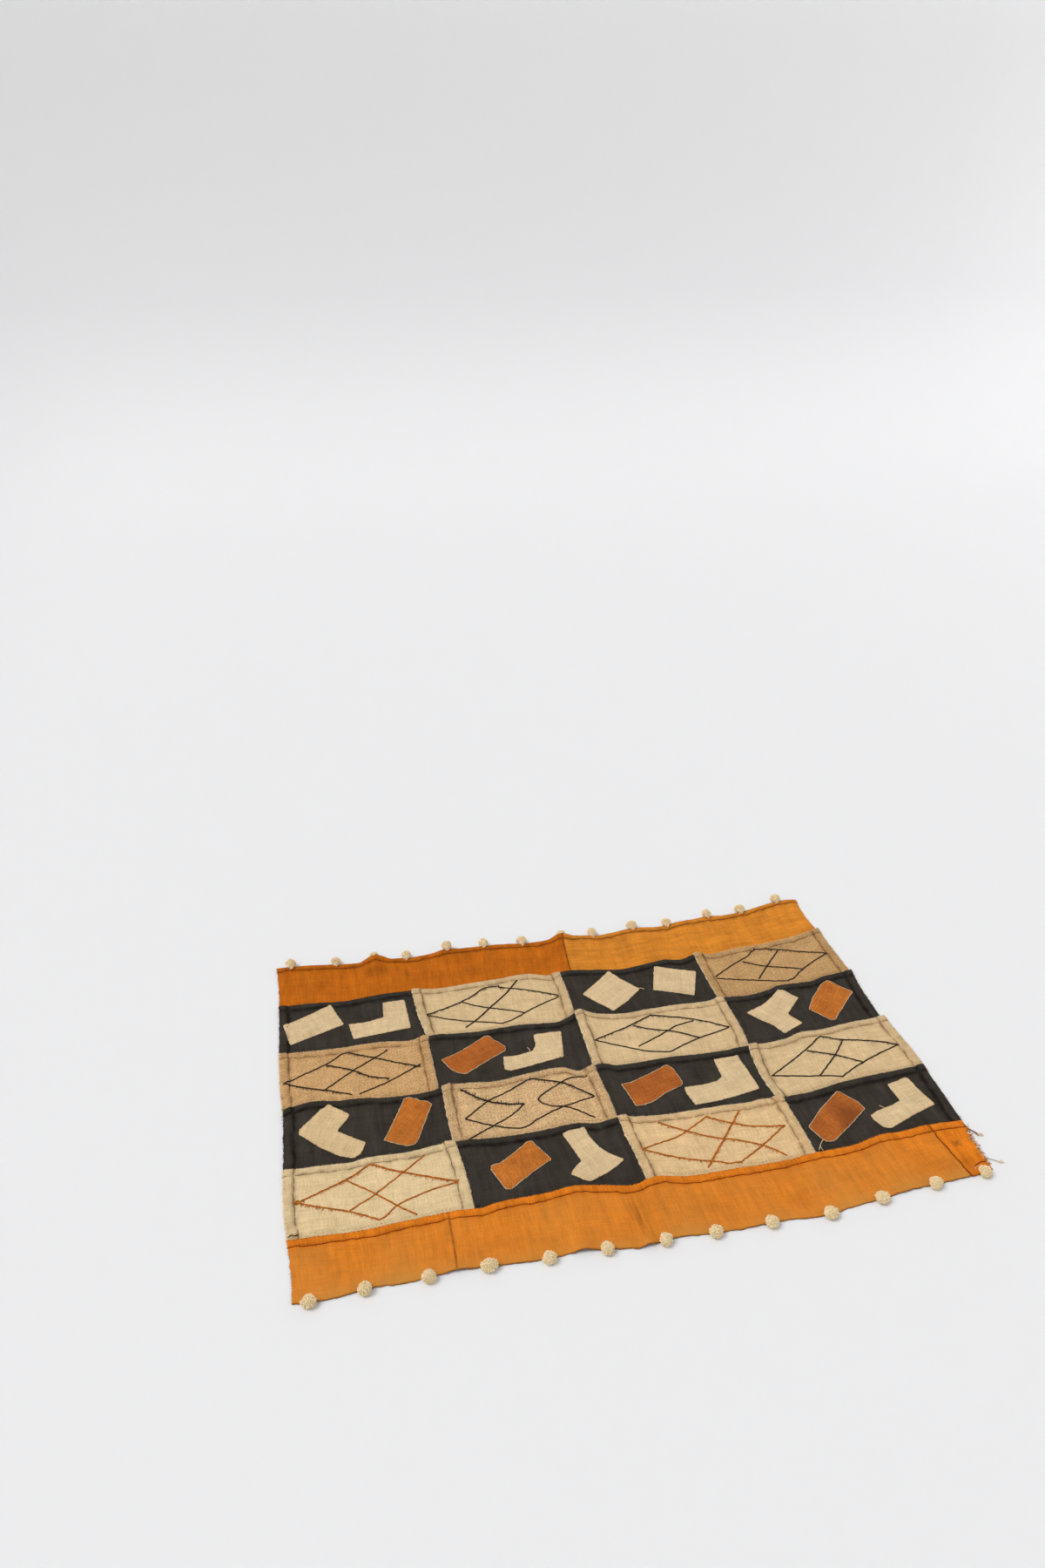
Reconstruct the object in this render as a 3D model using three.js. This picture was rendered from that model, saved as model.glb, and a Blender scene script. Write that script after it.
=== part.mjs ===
// A kuba raffia cloth lying flat. Sixteen panels in a checkerboard are lapped and sewn together
// between a near band and a far band, whose hems carry raffia tufts.
// Millimetres. u runs along the cloth from its near left corner, v runs across it, z is up.
import * as THREE from 'three';

const sheetThickness = 1.0;
const layerGap = 0.3;
const lapStep = sheetThickness + layerGap;
const lapWidth = 11;        // how far one piece lies over the next at a seam
const lapClear = 1;         // the upper piece stays raised this far past the lower piece's edge
const rowClear = 4.5;       // and this far at the seams between rows, whose edges wander more
const lapFall = 8;          // and comes down over this length
const hemWidth = 10;        // folded hem along each band's outer edge
const hemEnd = 13;          // where the hem's second layer has thinned out
const hemExtra = 0.8;
const joinGap = 0.3;        // between the butted pieces of a band
const tuftClear = 0.3;
const tuftEdgeClear = 1.8;  // a tuft's outer half hangs this far outside the band's edge
const tuftFootprint = 3;    // half the width of the hem that a tuft's underside covers
const stationSpacing = 3;   // the least distance between a band's cross sections

// Lines from left to right. Each row's far edge lies over the next row and shows as a line.
const acrossLines = {
  nearEdge: {
    u: [0, 40, 100, 130, 195, 250, 297, 345, 390, 425, 465, 510, 560, 610, 655, 700, 750, 800, 880, 915],
    v: [-2, -5, 0, -2, 1, -2, -5, -4, -9, -14, -9, -12, -14, -13, -17, -12, -7, -2, 1, 7],
  },
  rowFourNear: {
    u: [0, 50, 100, 150, 200, 238, 265, 330, 362, 400, 435, 472, 515, 560, 640, 700, 750, 788, 820, 860, 915],
    v: [88, 85, 83, 86, 88, 85, 90, 91, 95, 88, 80, 86, 78, 77, 76, 80, 82, 90, 90, 93, 91],
  },
  rowFourFar: {
    u: [0, 50, 85, 110, 160, 205, 250, 290, 340, 390, 425, 455, 490, 530, 600, 635, 660, 700, 745, 785, 850, 915],
    v: [200, 197, 195, 198, 196, 201, 199, 196, 195, 199, 192, 196, 191, 187, 187, 184, 187, 183, 187, 194, 198, 202],
  },
  rowThreeFar: {
    u: [0, 40, 80, 110, 150, 205, 235, 260, 300, 345, 400, 422, 455, 480, 560, 620, 680, 740, 770, 800, 860, 915],
    v: [309, 317, 310, 308, 302, 300, 308, 306, 300, 306, 308, 296, 303, 295, 295, 291, 292, 295, 304, 303, 309, 311],
  },
  rowTwoFar: {
    u: [0, 50, 90, 145, 190, 218, 250, 300, 360, 415, 437, 456, 480, 520, 560, 600, 650, 680, 720, 760, 780, 835, 860, 915],
    v: [424, 420, 418, 418, 412, 415, 414, 409, 411, 405, 412, 424, 411, 402, 404, 404, 402, 403, 401, 407, 414, 413, 420, 425],
  },
  rowOneFar: {
    u: [0, 50, 100, 150, 220, 250, 300, 350, 395, 430, 460, 510, 545, 600, 625, 650, 680, 706, 750, 800, 850, 915],
    v: [532, 529, 524, 527, 527, 522, 524, 525, 528, 517, 522, 514, 507, 513, 516, 510, 519, 513, 519, 521, 528, 543],
  },
  farEdge: {
    u: [0, 40, 80, 130, 160, 222, 275, 300, 350, 430, 470, 500, 540, 600, 648, 690, 750, 800, 850, 885, 915],
    v: [629, 628, 622, 616, 619, 612, 618, 618, 616, 608, 612, 611, 604, 611, 605, 612, 612, 616, 628, 632, 628],
  },
};

// Lines from near to far, one row for each strip: u at the strip's near side, middle and far side.
const strips = {
  nearBand: {
    near: acrossLines.nearEdge, far: acrossLines.rowFourNear,
    left: [1, 1, -2], joinOne: [196, 198, 198], joinTwo: [874, 868, 862], right: [907, 907, 912],
  },
  rowFour: {
    near: acrossLines.rowFourNear, far: acrossLines.rowFourFar,
    seams: [[-2, -5, -3], [232, 231, 225], [458, 455, 451], [692, 692, 688], [913, 914, 915]],
  },
  rowThree: {
    near: acrossLines.rowFourFar, far: acrossLines.rowThreeFar,
    seams: [[-3, -1, 0], [223, 222, 223], [452, 450, 446], [681, 676, 681], [917, 915, 910]],
  },
  rowTwo: {
    near: acrossLines.rowThreeFar, far: acrossLines.rowTwoFar,
    seams: [[-1, -3, -2], [219, 218, 218], [445, 447, 447], [683, 686, 682], [905, 906, 911]],
  },
  rowOne: {
    near: acrossLines.rowTwoFar, far: acrossLines.rowOneFar,
    seams: [[-2, 0, 1], [217, 210, 208], [447, 449, 447], [676, 675, 675], [909, 907, 907]],
  },
  farBand: {
    near: acrossLines.rowOneFar, far: acrossLines.farEdge,
    left: [1, 2, 0], join: [467, 471, 475], right: [904, 901, 905],
  },
};
const rowNames = ['rowOne', 'rowTwo', 'rowThree', 'rowFour'];

// Places where a band stands off the surface: how high, half its length, and how far in it reaches.
const edgeLifts = [
  { edge: 'near', u: 200, height: 3, halfLength: 30, reach: 35 },
  { edge: 'near', u: 352, height: 5, halfLength: 22, reach: 40 },
  { edge: 'near', u: 433, height: 4, halfLength: 16, reach: 72 },
  { edge: 'far', u: 159, height: 10, halfLength: 28, reach: 48 },
  { edge: 'far', u: 278, height: 3, halfLength: 26, reach: 35 },
  { edge: 'far', u: 473, height: 8, halfLength: 26, reach: 38 },
  { edge: 'far', u: 733, height: 3, halfLength: 30, reach: 35 },
];

// Tufts sewn along the two hems: place along the edge and width. Those at the two highest lifts
// of the far edge droop behind it.
const nearTufts = {
  u: [20, 85, 161, 234, 307, 379, 453, 517, 590, 668, 741, 819, 891],
  width: [19, 19, 20, 21, 18, 19, 18, 20, 19, 20, 20, 20, 19],
};
const farTufts = {
  u: [23, 96, 159, 210, 278, 340, 404, 473, 525, 596, 657, 733, 795, 867],
  width: [18, 17, 17, 16, 18, 17, 17, 16, 17, 19, 17, 18, 19, 19],
};
const droopingTufts = [159, 473];
// A tuft from its sewn root over the hem to its blunt outer end, for a width of 20. low and high
// are heights above the hem, and null is down on the surface that the cloth lies on.
const tuftSections = [
  { out: -8, halfWidth: 2.2, low: 0, high: 3.2 },
  { out: -4.5, halfWidth: 6, low: 0, high: 8.5 },
  { out: tuftEdgeClear, halfWidth: 9.4, low: 0, high: 13 },
  { out: 4, halfWidth: 10, low: null, high: 13.5 },
  { out: 7.5, halfWidth: 8, low: null, high: 11.5 },
  { out: 10, halfWidth: 4, low: 1.5, high: 8 },
];
const droopingSections = [
  { out: 0.6, halfWidth: 3, low: -2, high: 0 },
  { out: 3, halfWidth: 8, low: -6, high: 1.5 },
  { out: 7, halfWidth: 9.5, low: null, high: 0 },
  { out: 11, halfWidth: 7, low: null, high: -3 },
  { out: 13, halfWidth: 3, low: -8, high: -5 },
];
const tuftNominalWidth = 20;
const tuftSides = 10;

function finish(color, roughness) {
  return new THREE.MeshStandardMaterial({ color, roughness, metalness: 0 });
}
const finishes = {
  natural: finish(0xc8ad7e, 0.85),
  black: finish(0x2f2b28, 0.9),
  orange: finish(0xcb7a22, 0.85),
  tuft: finish(0xdcc596, 0.95),
};

function clamp01(x) {
  return Math.min(1, Math.max(0, x));
}

// The smooth line through a table's points.
function lineAt(line, u) {
  const last = line.u.length - 1;
  let i = 1;
  while (i < last && u > line.u[i]) i += 1;
  const slopeAt = (k) => {
    const a = Math.max(k - 1, 0);
    const b = Math.min(k + 1, last);
    return (line.v[b] - line.v[a]) / (line.u[b] - line.u[a]);
  };
  const span = line.u[i] - line.u[i - 1];
  const f = clamp01((u - line.u[i - 1]) / span);
  const rise = f * f * (3 - 2 * f);
  const slopeIn = slopeAt(i - 1) * span * f * (1 - f) * (1 - f);
  const slopeOut = slopeAt(i) * span * f * f * (1 - f);
  return line.v[i - 1] * (1 - rise) + line.v[i] * rise + slopeIn - slopeOut;
}

// How far across its strip a point lies, 0 at the near line and 1 at the far line.
function acrossStrip(strip, u, v) {
  const near = lineAt(strip.near, u);
  return (v - near) / (lineAt(strip.far, u) - near);
}

// u of a near to far line at a share q of the way, bowed through its middle value.
function seamAt([near, middle, far], q) {
  const share = clamp01(q);
  const bow = middle - (near + far) / 2;
  return near + (far - near) * share + 4 * bow * share * (1 - share);
}

// 1 between two places and 0 beyond them, falling in a straight line over a length.
function plateau(x, from, to, fall) {
  return Math.min(clamp01(1 - (from - x) / fall), clamp01(1 - (x - to) / fall));
}

function bump(x) {
  return Math.abs(x) < 1 ? Math.cos(x * Math.PI / 2) ** 2 : 0;
}

function liftAt(u, v) {
  let lift = 0;
  for (const place of edgeLifts) {
    const edge = place.edge === 'near' ? v - lineAt(acrossLines.nearEdge, u)
      : lineAt(acrossLines.farEdge, u) - v;
    lift += place.height * bump((u - place.u) / place.halfLength) * clamp01(1 - edge / place.reach) ** 1.5;
  }
  return lift;
}

// A closed sheet over a grid: each column gives u at a share q, and each cross line gives v at u.
function makeSheet(strip, columns, crossLines, levelAt, thicknessAt) {
  const points = [[], []];
  for (const crossLine of crossLines) {
    for (const column of columns) {
      let u = column(0.5);
      let v = 0;
      for (let pass = 0; pass < 6; pass += 1) {
        v = crossLine(u);
        u = column(acrossStrip(strip, u, v));
      }
      v = crossLine(u);
      const level = levelAt(u, v) + liftAt(u, v);
      points[0].push(u, v, level);
      points[1].push(u, v, level + thicknessAt(u, v));
    }
  }
  const across = columns.length;
  const along = crossLines.length;
  const layer = across * along;
  const faces = [];
  const quad = (a, b, c, d) => faces.push(a, b, c, a, c, d);
  for (let j = 0; j < along - 1; j += 1) {
    for (let i = 0; i < across - 1; i += 1) {
      const a = j * across + i;
      const b = a + 1;
      const c = b + across;
      const d = a + across;
      faces.push(layer + a, layer + b, layer + c, layer + a, layer + c, layer + d);
      faces.push(a, c, b, a, d, c);
    }
  }
  for (let i = 0; i < across - 1; i += 1) {
    const far = (along - 1) * across + i;
    quad(i, i + 1, layer + i + 1, layer + i);
    quad(far + 1, far, layer + far, layer + far + 1);
  }
  for (let j = 0; j < along - 1; j += 1) {
    const left = j * across;
    const right = left + across - 1;
    quad(left + across, left, layer + left, layer + left + across);
    quad(right, right + across, layer + right + across, layer + right);
  }
  return closedGeometry([...points[0], ...points[1]], faces);
}

function closedGeometry(positions, faces) {
  const geometry = new THREE.BufferGeometry();
  geometry.setAttribute('position', new THREE.Float32BufferAttribute(positions, 3));
  geometry.setIndex(faces);
  geometry.computeVertexNormals();
  return geometry;
}

function between(a, b, share) {
  return (q) => a(q) * (1 - share) + b(q) * share;
}

function offset(line, distance) {
  return (u) => lineAt(line, u) + distance;
}

// Natural panels lie over black ones at every seam between columns.
function isNatural(row, column) {
  return (row + column) % 2 === 1;
}

// How much a row's far strip climbs over the seams of the row beyond it.
function crossingAt(row, u) {
  if (row === 0) return 0;
  const own = strips[rowNames[row]];
  const beyond = strips[rowNames[row - 1]];
  let raised = 0;
  for (let seam = 1; seam < 4; seam += 1) {
    const ownU = seamAt(own.seams[seam], 1);
    const reach = crossReach(own, beyond, seam);
    const naturalLeft = isNatural(row, seam - 1);
    const from = ownU - (naturalLeft ? lapWidth + lapClear : reach);
    const to = ownU + (naturalLeft ? reach : lapWidth + lapClear);
    raised = Math.max(raised, plateau(u, from, to, lapFall));
  }
  return raised;
}

function crossReach(own, beyond, seam) {
  const shift = Math.abs(seamAt(own.seams[seam], 1) - seamAt(beyond.seams[seam], 0));
  return shift + lapWidth + 2 * lapClear + lapFall;
}

function makePanel(row, column) {
  const strip = strips[rowNames[row]];
  const natural = isNatural(row, column);
  const leftSeam = (q) => seamAt(strip.seams[column], q);
  const rightSeam = (q) => seamAt(strip.seams[column + 1], q);
  const fromSeam = (seam, sign) => {
    if (natural) return [0, lapWidth + lapClear, lapWidth + lapClear + lapFall].map((d) => sign * d);
    const reach = row === 0 ? 2 * lapWidth : crossReach(strip, strips[rowNames[row - 1]], seam);
    return [-lapWidth, 0, reach, reach + lapFall].map((d) => sign * d);
  };
  const leftOffsets = column === 0 ? [0] : fromSeam(column, 1);
  const rightOffsets = column === 3 ? [0] : fromSeam(column + 1, -1).reverse();
  const columns = leftOffsets.map((d) => (q) => leftSeam(q) + d);
  const innerLeft = columns[columns.length - 1];
  const innerRight = (q) => rightSeam(q) + rightOffsets[0];
  const innerSpans = column === 0 || column === 3 ? 5 : 4;
  for (let i = 1; i < innerSpans; i += 1) columns.push(between(innerLeft, innerRight, i / innerSpans));
  columns.push(...rightOffsets.map((d) => (q) => rightSeam(q) + d));

  const crossLines = [offset(strip.near, -lapWidth), offset(strip.near, 0)];
  const innerFar = offset(strip.far, -(lapWidth + rowClear + lapFall));
  for (let j = 1; j < 3; j += 1) crossLines.push(between(crossLines[1], innerFar, j / 3));
  crossLines.push(innerFar, offset(strip.far, -(lapWidth + rowClear)), offset(strip.far, 0));

  const levelAt = (u, v) => {
    const q = acrossStrip(strip, u, v);
    const overRow = plateau(lineAt(strip.far, u) - v, 0, lapWidth + rowClear, lapFall);
    let overNeighbour = 0;
    if (natural && column > 0) {
      overNeighbour = plateau(u - leftSeam(q), 0, lapWidth + lapClear, lapFall);
    }
    if (natural && column < 3) {
      const fromRight = plateau(rightSeam(q) - u, 0, lapWidth + lapClear, lapFall);
      overNeighbour = Math.max(overNeighbour, fromRight);
    }
    return lapStep * (overRow * (1 + crossingAt(row, u)) + overNeighbour);
  };
  return makeSheet(strip, columns, crossLines, levelAt, () => sheetThickness);
}

// How much the near band climbs over the seams of the row beyond it.
function nearBandCrossing(u) {
  let raised = 0;
  for (const [from, to] of nearCrossings) raised = Math.max(raised, plateau(u, from, to, lapFall));
  return raised;
}

const nearCrossings = [1, 2, 3].map((seam) => {
  const seamU = seamAt(strips.rowFour.seams[seam], 0);
  const covered = lapWidth + 2 * lapClear + lapFall;
  return isNatural(3, seam - 1) ? [seamU - covered, seamU + lapClear] : [seamU - lapClear, seamU + covered];
});

// u stations for a band between two lines: any steps, its tufts, the lifts of its outer edge
// and the places between the tufts.
function bandStations(edge, tufts, steps, from, to) {
  const lifts = edgeLifts.filter((place) => place.edge === edge)
    .flatMap(({ u, halfLength }) => [u - halfLength, u - halfLength / 2, u, u + halfLength / 2, u + halfLength]);
  const middles = tufts.u.slice(1).map((u, i) => (u + tufts.u[i]) / 2);
  const stations = [];
  for (const u of [...steps, ...tufts.u, ...lifts, ...middles]) {
    const inside = u > from + stationSpacing && u < to - stationSpacing;
    if (inside && stations.every((other) => Math.abs(other - u) > stationSpacing)) stations.push(u);
  }
  return stations.sort((a, b) => a - b);
}

function makeBandPiece(strip, left, right, stations, crossLines, levelAt, hemEdge) {
  const leftLine = (q) => seamAt(left, q);
  const rightLine = (q) => seamAt(right, q);
  const columns = [leftLine, ...stations.map((u) => () => u), rightLine];
  const thicknessAt = (u, v) => sheetThickness
    + hemExtra * plateau(Math.abs(v - lineAt(hemEdge, u)), 0, hemWidth, hemEnd - hemWidth);
  return makeSheet(strip, columns, crossLines, levelAt, thicknessAt);
}

function inset(line, distance) {
  return line.map((u) => u + distance);
}

function makeNearBand(left, right) {
  const strip = strips.nearBand;
  const steps = nearCrossings.flatMap(([from, to]) => [from - lapFall, from, to, to + lapFall]);
  const stations = bandStations('near', nearTufts, steps, Math.max(...left), Math.min(...right));
  const crossLines = [
    offset(strip.near, 0), offset(strip.near, hemWidth), offset(strip.near, hemEnd),
    between(offset(strip.near, hemEnd), offset(strip.far, -(lapWidth + rowClear + lapFall)), 0.5),
    offset(strip.far, -(lapWidth + rowClear + lapFall)), offset(strip.far, -(lapWidth + rowClear)),
    offset(strip.far, 0),
  ];
  const levelAt = (u, v) => {
    const overRow = plateau(lineAt(strip.far, u) - v, 0, lapWidth + rowClear, lapFall);
    return lapStep * overRow * (1 + nearBandCrossing(u));
  };
  return makeBandPiece(strip, left, right, stations, crossLines, levelAt, strip.near);
}

function makeFarBand(left, right) {
  const strip = strips.farBand;
  const stations = bandStations('far', farTufts, [], Math.max(...left), Math.min(...right));
  const innerFar = offset(strip.far, -hemEnd);
  const crossLines = [
    offset(strip.near, -lapWidth), between(offset(strip.near, -lapWidth), innerFar, 0.5),
    innerFar, offset(strip.far, -hemWidth), offset(strip.far, 0),
  ];
  return makeBandPiece(strip, left, right, stations, crossLines, () => 0, strip.far);
}

// The height at which a tuft lies on its hem, clear of the highest place under it.
function hemTopAt(u, v) {
  const lifts = [-1, 0, 1].map((side) => liftAt(u + side * tuftFootprint, v));
  return sheetThickness + hemExtra + tuftClear + Math.max(...lifts);
}

// One tuft, lofted from its root outwards. sign is the outward direction along v.
function makeTuft(u, edgeLine, sign, width) {
  const edge = lineAt(edgeLine, u);
  const scale = width / tuftNominalWidth;
  const sections = droopingTufts.includes(u) ? droopingSections : tuftSections;
  const seat = hemTopAt(u, edge);
  const positions = [];
  for (const section of sections) {
    const v = edge + sign * section.out;
    const low = section.low === null ? 0 : Math.max(0, seat + section.low);
    const high = seat + section.high * scale;
    for (let k = 0; k < tuftSides; k += 1) {
      const angle = ((k + 0.5) / tuftSides) * 2 * Math.PI - Math.PI / 2;
      const topShare = (Math.sin(angle) / Math.cos(Math.PI / tuftSides) + 1) / 2;
      positions.push(u + section.halfWidth * scale * Math.cos(angle), v, low + (high - low) * topShare);
    }
  }
  const faces = [];
  const ring = (section, k) => section * tuftSides + (k % tuftSides);
  const add = (a, b, c) => faces.push(...(sign < 0 ? [a, c, b] : [a, b, c]));
  const lastSection = sections.length - 1;
  for (let s = 0; s < lastSection; s += 1) {
    for (let k = 0; k < tuftSides; k += 1) {
      add(ring(s, k), ring(s + 1, k), ring(s + 1, k + 1));
      add(ring(s, k), ring(s + 1, k + 1), ring(s, k + 1));
    }
  }
  for (let k = 1; k < tuftSides - 1; k += 1) {
    add(ring(0, 0), ring(0, k), ring(0, k + 1));
    add(ring(lastSection, 0), ring(lastSection, k + 1), ring(lastSection, k));
  }
  return closedGeometry(positions, faces);
}

const cloth = new THREE.Group();

function addPiece(name, geometry, material) {
  const mesh = new THREE.Mesh(geometry, material);
  mesh.name = name;
  cloth.add(mesh);
}

for (let row = 0; row < 4; row += 1) {
  for (let column = 0; column < 4; column += 1) {
    const natural = isNatural(row, column);
    const name = `panel_${row + 1}_${column + 1}`;
    addPiece(name, makePanel(row, column), natural ? finishes.natural : finishes.black);
  }
}

const { nearBand, farBand } = strips;
addPiece('near_band_left', makeNearBand(nearBand.left, inset(nearBand.joinOne, -joinGap / 2)), finishes.orange);
addPiece('near_band_middle', makeNearBand(
  inset(nearBand.joinOne, joinGap / 2), inset(nearBand.joinTwo, -joinGap / 2)), finishes.orange);
addPiece('near_band_end', makeNearBand(inset(nearBand.joinTwo, joinGap / 2), nearBand.right), finishes.orange);
addPiece('far_band_left', makeFarBand(farBand.left, inset(farBand.join, -joinGap / 2)), finishes.orange);
addPiece('far_band_right', makeFarBand(inset(farBand.join, joinGap / 2), farBand.right), finishes.orange);

nearTufts.u.forEach((u, i) => addPiece(`near_tuft_${i + 1}`,
  makeTuft(u, nearBand.near, -1, nearTufts.width[i]), finishes.tuft));
farTufts.u.forEach((u, i) => addPiece(`far_tuft_${i + 1}`,
  makeTuft(u, farBand.far, 1, farTufts.width[i]), finishes.tuft));

// The origin is under the middle of the whole cloth.
const box = new THREE.Box3().setFromObject(cloth);
cloth.position.set(-(box.min.x + box.max.x) / 2, -(box.min.y + box.max.y) / 2, 0);

export default cloth;
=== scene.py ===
# The looks of a kuba raffia cloth that lies flat: woven panels lapped in a checkerboard, applied
# patches, embroidery, seam stitches, frayed edges and raffia tufts.
# The tables are in millimetres from the cloth's near left corner: u to the right, v away, z up.
import math

import bpy
import numpy as np
from mathutils import Matrix, Vector
from mathutils.geometry import delaunay_2d_cdt


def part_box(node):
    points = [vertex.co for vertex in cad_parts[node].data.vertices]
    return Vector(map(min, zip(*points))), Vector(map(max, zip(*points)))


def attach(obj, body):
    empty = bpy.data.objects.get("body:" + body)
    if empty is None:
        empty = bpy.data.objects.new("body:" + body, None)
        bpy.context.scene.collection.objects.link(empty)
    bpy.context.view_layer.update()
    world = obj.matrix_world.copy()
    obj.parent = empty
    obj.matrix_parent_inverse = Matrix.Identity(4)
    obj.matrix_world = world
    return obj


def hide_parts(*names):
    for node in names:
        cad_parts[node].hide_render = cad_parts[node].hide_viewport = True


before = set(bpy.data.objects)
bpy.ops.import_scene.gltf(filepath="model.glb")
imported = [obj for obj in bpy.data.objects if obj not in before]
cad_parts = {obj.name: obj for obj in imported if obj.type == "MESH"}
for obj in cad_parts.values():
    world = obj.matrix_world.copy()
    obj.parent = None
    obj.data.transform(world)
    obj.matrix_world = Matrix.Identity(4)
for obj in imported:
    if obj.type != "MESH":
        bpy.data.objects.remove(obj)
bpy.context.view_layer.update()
mm = 0.001

# Lines from left to right, as u values and v values.
clothLines = {
    "nearEdge": (
        [0, 40, 100, 130, 195, 250, 297, 345, 390, 425, 465, 510, 560, 610, 655, 700, 750, 800, 880, 915],
        [-2, -5, 0, -2, 1, -2, -5, -4, -9, -14, -9, -12, -14, -13, -17, -12, -7, -2, 1, 7]),
    "rowFourNear": (
        [0, 50, 100, 150, 200, 238, 265, 330, 362, 400, 435, 472, 515, 560, 640, 700, 750, 788, 820, 860, 915],
        [88, 85, 83, 86, 88, 85, 90, 91, 95, 88, 80, 86, 78, 77, 76, 80, 82, 90, 90, 93, 91]),
    "rowFourFar": (
        [0, 50, 85, 110, 160, 205, 250, 290, 340, 390, 425, 455, 490, 530, 600, 635, 660, 700, 745, 785, 850, 915],
        [200, 197, 195, 198, 196, 201, 199, 196, 195, 199, 192, 196, 191, 187, 187, 184, 187, 183, 187, 194, 198,
         202]),
    "rowThreeFar": (
        [0, 40, 80, 110, 150, 205, 235, 260, 300, 345, 400, 422, 455, 480, 560, 620, 680, 740, 770, 800, 860, 915],
        [309, 317, 310, 308, 302, 300, 308, 306, 300, 306, 308, 296, 303, 295, 295, 291, 292, 295, 304, 303, 309,
         311]),
    "rowTwoFar": (
        [0, 50, 90, 145, 190, 218, 250, 300, 360, 415, 437, 456, 480, 520, 560, 600, 650, 680, 720, 760, 780, 835,
         860, 915],
        [424, 420, 418, 418, 412, 415, 414, 409, 411, 405, 412, 424, 411, 402, 404, 404, 402, 403, 401, 407, 414,
         413, 420, 425]),
    "rowOneFar": (
        [0, 50, 100, 150, 220, 250, 300, 350, 395, 430, 460, 510, 545, 600, 625, 650, 680, 706, 750, 800, 850, 915],
        [532, 529, 524, 527, 527, 522, 524, 525, 528, 517, 522, 514, 507, 513, 516, 510, 519, 513, 519, 521, 528,
         543]),
    "farEdge": (
        [0, 40, 80, 130, 160, 222, 275, 300, 350, 430, 470, 500, 540, 600, 648, 690, 750, 800, 850, 885, 915],
        [629, 628, 622, 616, 619, 612, 618, 618, 616, 608, 612, 611, 604, 611, 605, 612, 612, 616, 628, 632, 628]),
}

# The strips between the lines. A seam is u at the strip's near side, middle and far side.
strips = {
    "nearBand": {"near": "nearEdge", "far": "rowFourNear",
                 "seams": [[1, 1, -2], [196, 198, 198], [874, 868, 862], [907, 907, 912]]},
    "rowFour": {"near": "rowFourNear", "far": "rowFourFar",
                "seams": [[-2, -5, -3], [232, 231, 225], [458, 455, 451], [692, 692, 688], [913, 914, 915]]},
    "rowThree": {"near": "rowFourFar", "far": "rowThreeFar",
                 "seams": [[-3, -1, 0], [223, 222, 223], [452, 450, 446], [681, 676, 681], [917, 915, 910]]},
    "rowTwo": {"near": "rowThreeFar", "far": "rowTwoFar",
               "seams": [[-1, -3, -2], [219, 218, 218], [445, 447, 447], [683, 686, 682], [905, 906, 911]]},
    "rowOne": {"near": "rowTwoFar", "far": "rowOneFar",
               "seams": [[-2, 0, 1], [217, 210, 208], [447, 449, 447], [676, 675, 675], [909, 907, 907]]},
    "farBand": {"near": "rowOneFar", "far": "farEdge",
                "seams": [[1, 2, 0], [467, 471, 475], [904, 901, 905]]},
}
rowNames = ["rowOne", "rowTwo", "rowThree", "rowFour"]

# Places where a band stands off the floor.
edgeLifts = [
    {"edge": "near", "u": 200, "height": 3, "halfLength": 30, "reach": 35},
    {"edge": "near", "u": 352, "height": 5, "halfLength": 22, "reach": 40},
    {"edge": "near", "u": 433, "height": 4, "halfLength": 16, "reach": 72},
    {"edge": "far", "u": 159, "height": 10, "halfLength": 28, "reach": 48},
    {"edge": "far", "u": 278, "height": 3, "halfLength": 26, "reach": 35},
    {"edge": "far", "u": 473, "height": 8, "halfLength": 26, "reach": 38},
    {"edge": "far", "u": 733, "height": 3, "halfLength": 30, "reach": 35},
]

nearTufts = {
    "u": [20, 85, 161, 234, 307, 379, 453, 517, 590, 668, 741, 819, 891],
    "width": [19, 19, 20, 21, 18, 19, 18, 20, 19, 20, 20, 20, 19],
}
farTufts = {
    "u": [23, 96, 159, 210, 278, 340, 404, 473, 525, 596, 657, 733, 795, 867],
    "width": [18, 17, 17, 16, 18, 17, 17, 16, 17, 19, 17, 18, 19, 19],
}

cloth = {
    "thickness": 0.9,
    "lapStep": 1.3,      # a piece that lies over another is this much higher
    "lapWidth": 11,      # and lies this far over it
    "lapClear": 1,
    "rowClear": 4.5,
    "lapFall": 8,
    "hemWidth": 10,
    "hemFall": 3,
    "hemExtra": 0.8,
    "joinGap": 0.3,
    "cell": 3.2,         # the grid's usual spacing
    "edgeRound": 0.35,   # how far the top rolls down at an edge
}


# a smooth curve through values at knots
def curveAt(knots, values, x):
    knots, values = np.array(knots, float), np.array(values, float)
    spot = np.arange(len(knots))
    before, after = np.maximum(spot - 1, 0), np.minimum(spot + 1, len(knots) - 1)
    slope = (values[after] - values[before]) / (knots[after] - knots[before])
    i = np.clip(np.searchsorted(knots, x), 1, len(knots) - 1)
    span = knots[i] - knots[i - 1]
    f = np.clip((x - knots[i - 1]) / span, 0, 1)
    rise = f * f * (3 - 2 * f)
    bend = slope[i - 1] * f * (1 - f) ** 2 - slope[i] * f * f * (1 - f)
    return values[i - 1] * (1 - rise) + values[i] * rise + bend * span


def lineAt(name, u):
    return curveAt(*clothLines[name], u)


def seamAt(seam, q):
    near, middle, far = seam
    share = np.clip(q, 0, 1)
    return near + (far - near) * share + 4 * (middle - (near + far) / 2) * share * (1 - share)


def acrossStrip(strip, u, v):
    near = lineAt(strip["near"], u)
    return (v - near) / (lineAt(strip["far"], u) - near)


def smooth(x):
    share = np.clip(x, 0, 1)
    return share * share * (3 - 2 * share)


# 1 between two places, falling to 0 beyond them
def plateau(x, start, end, fall):
    return np.minimum(smooth(1 - (start - x) / fall), smooth(1 - (x - end) / fall))


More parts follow.
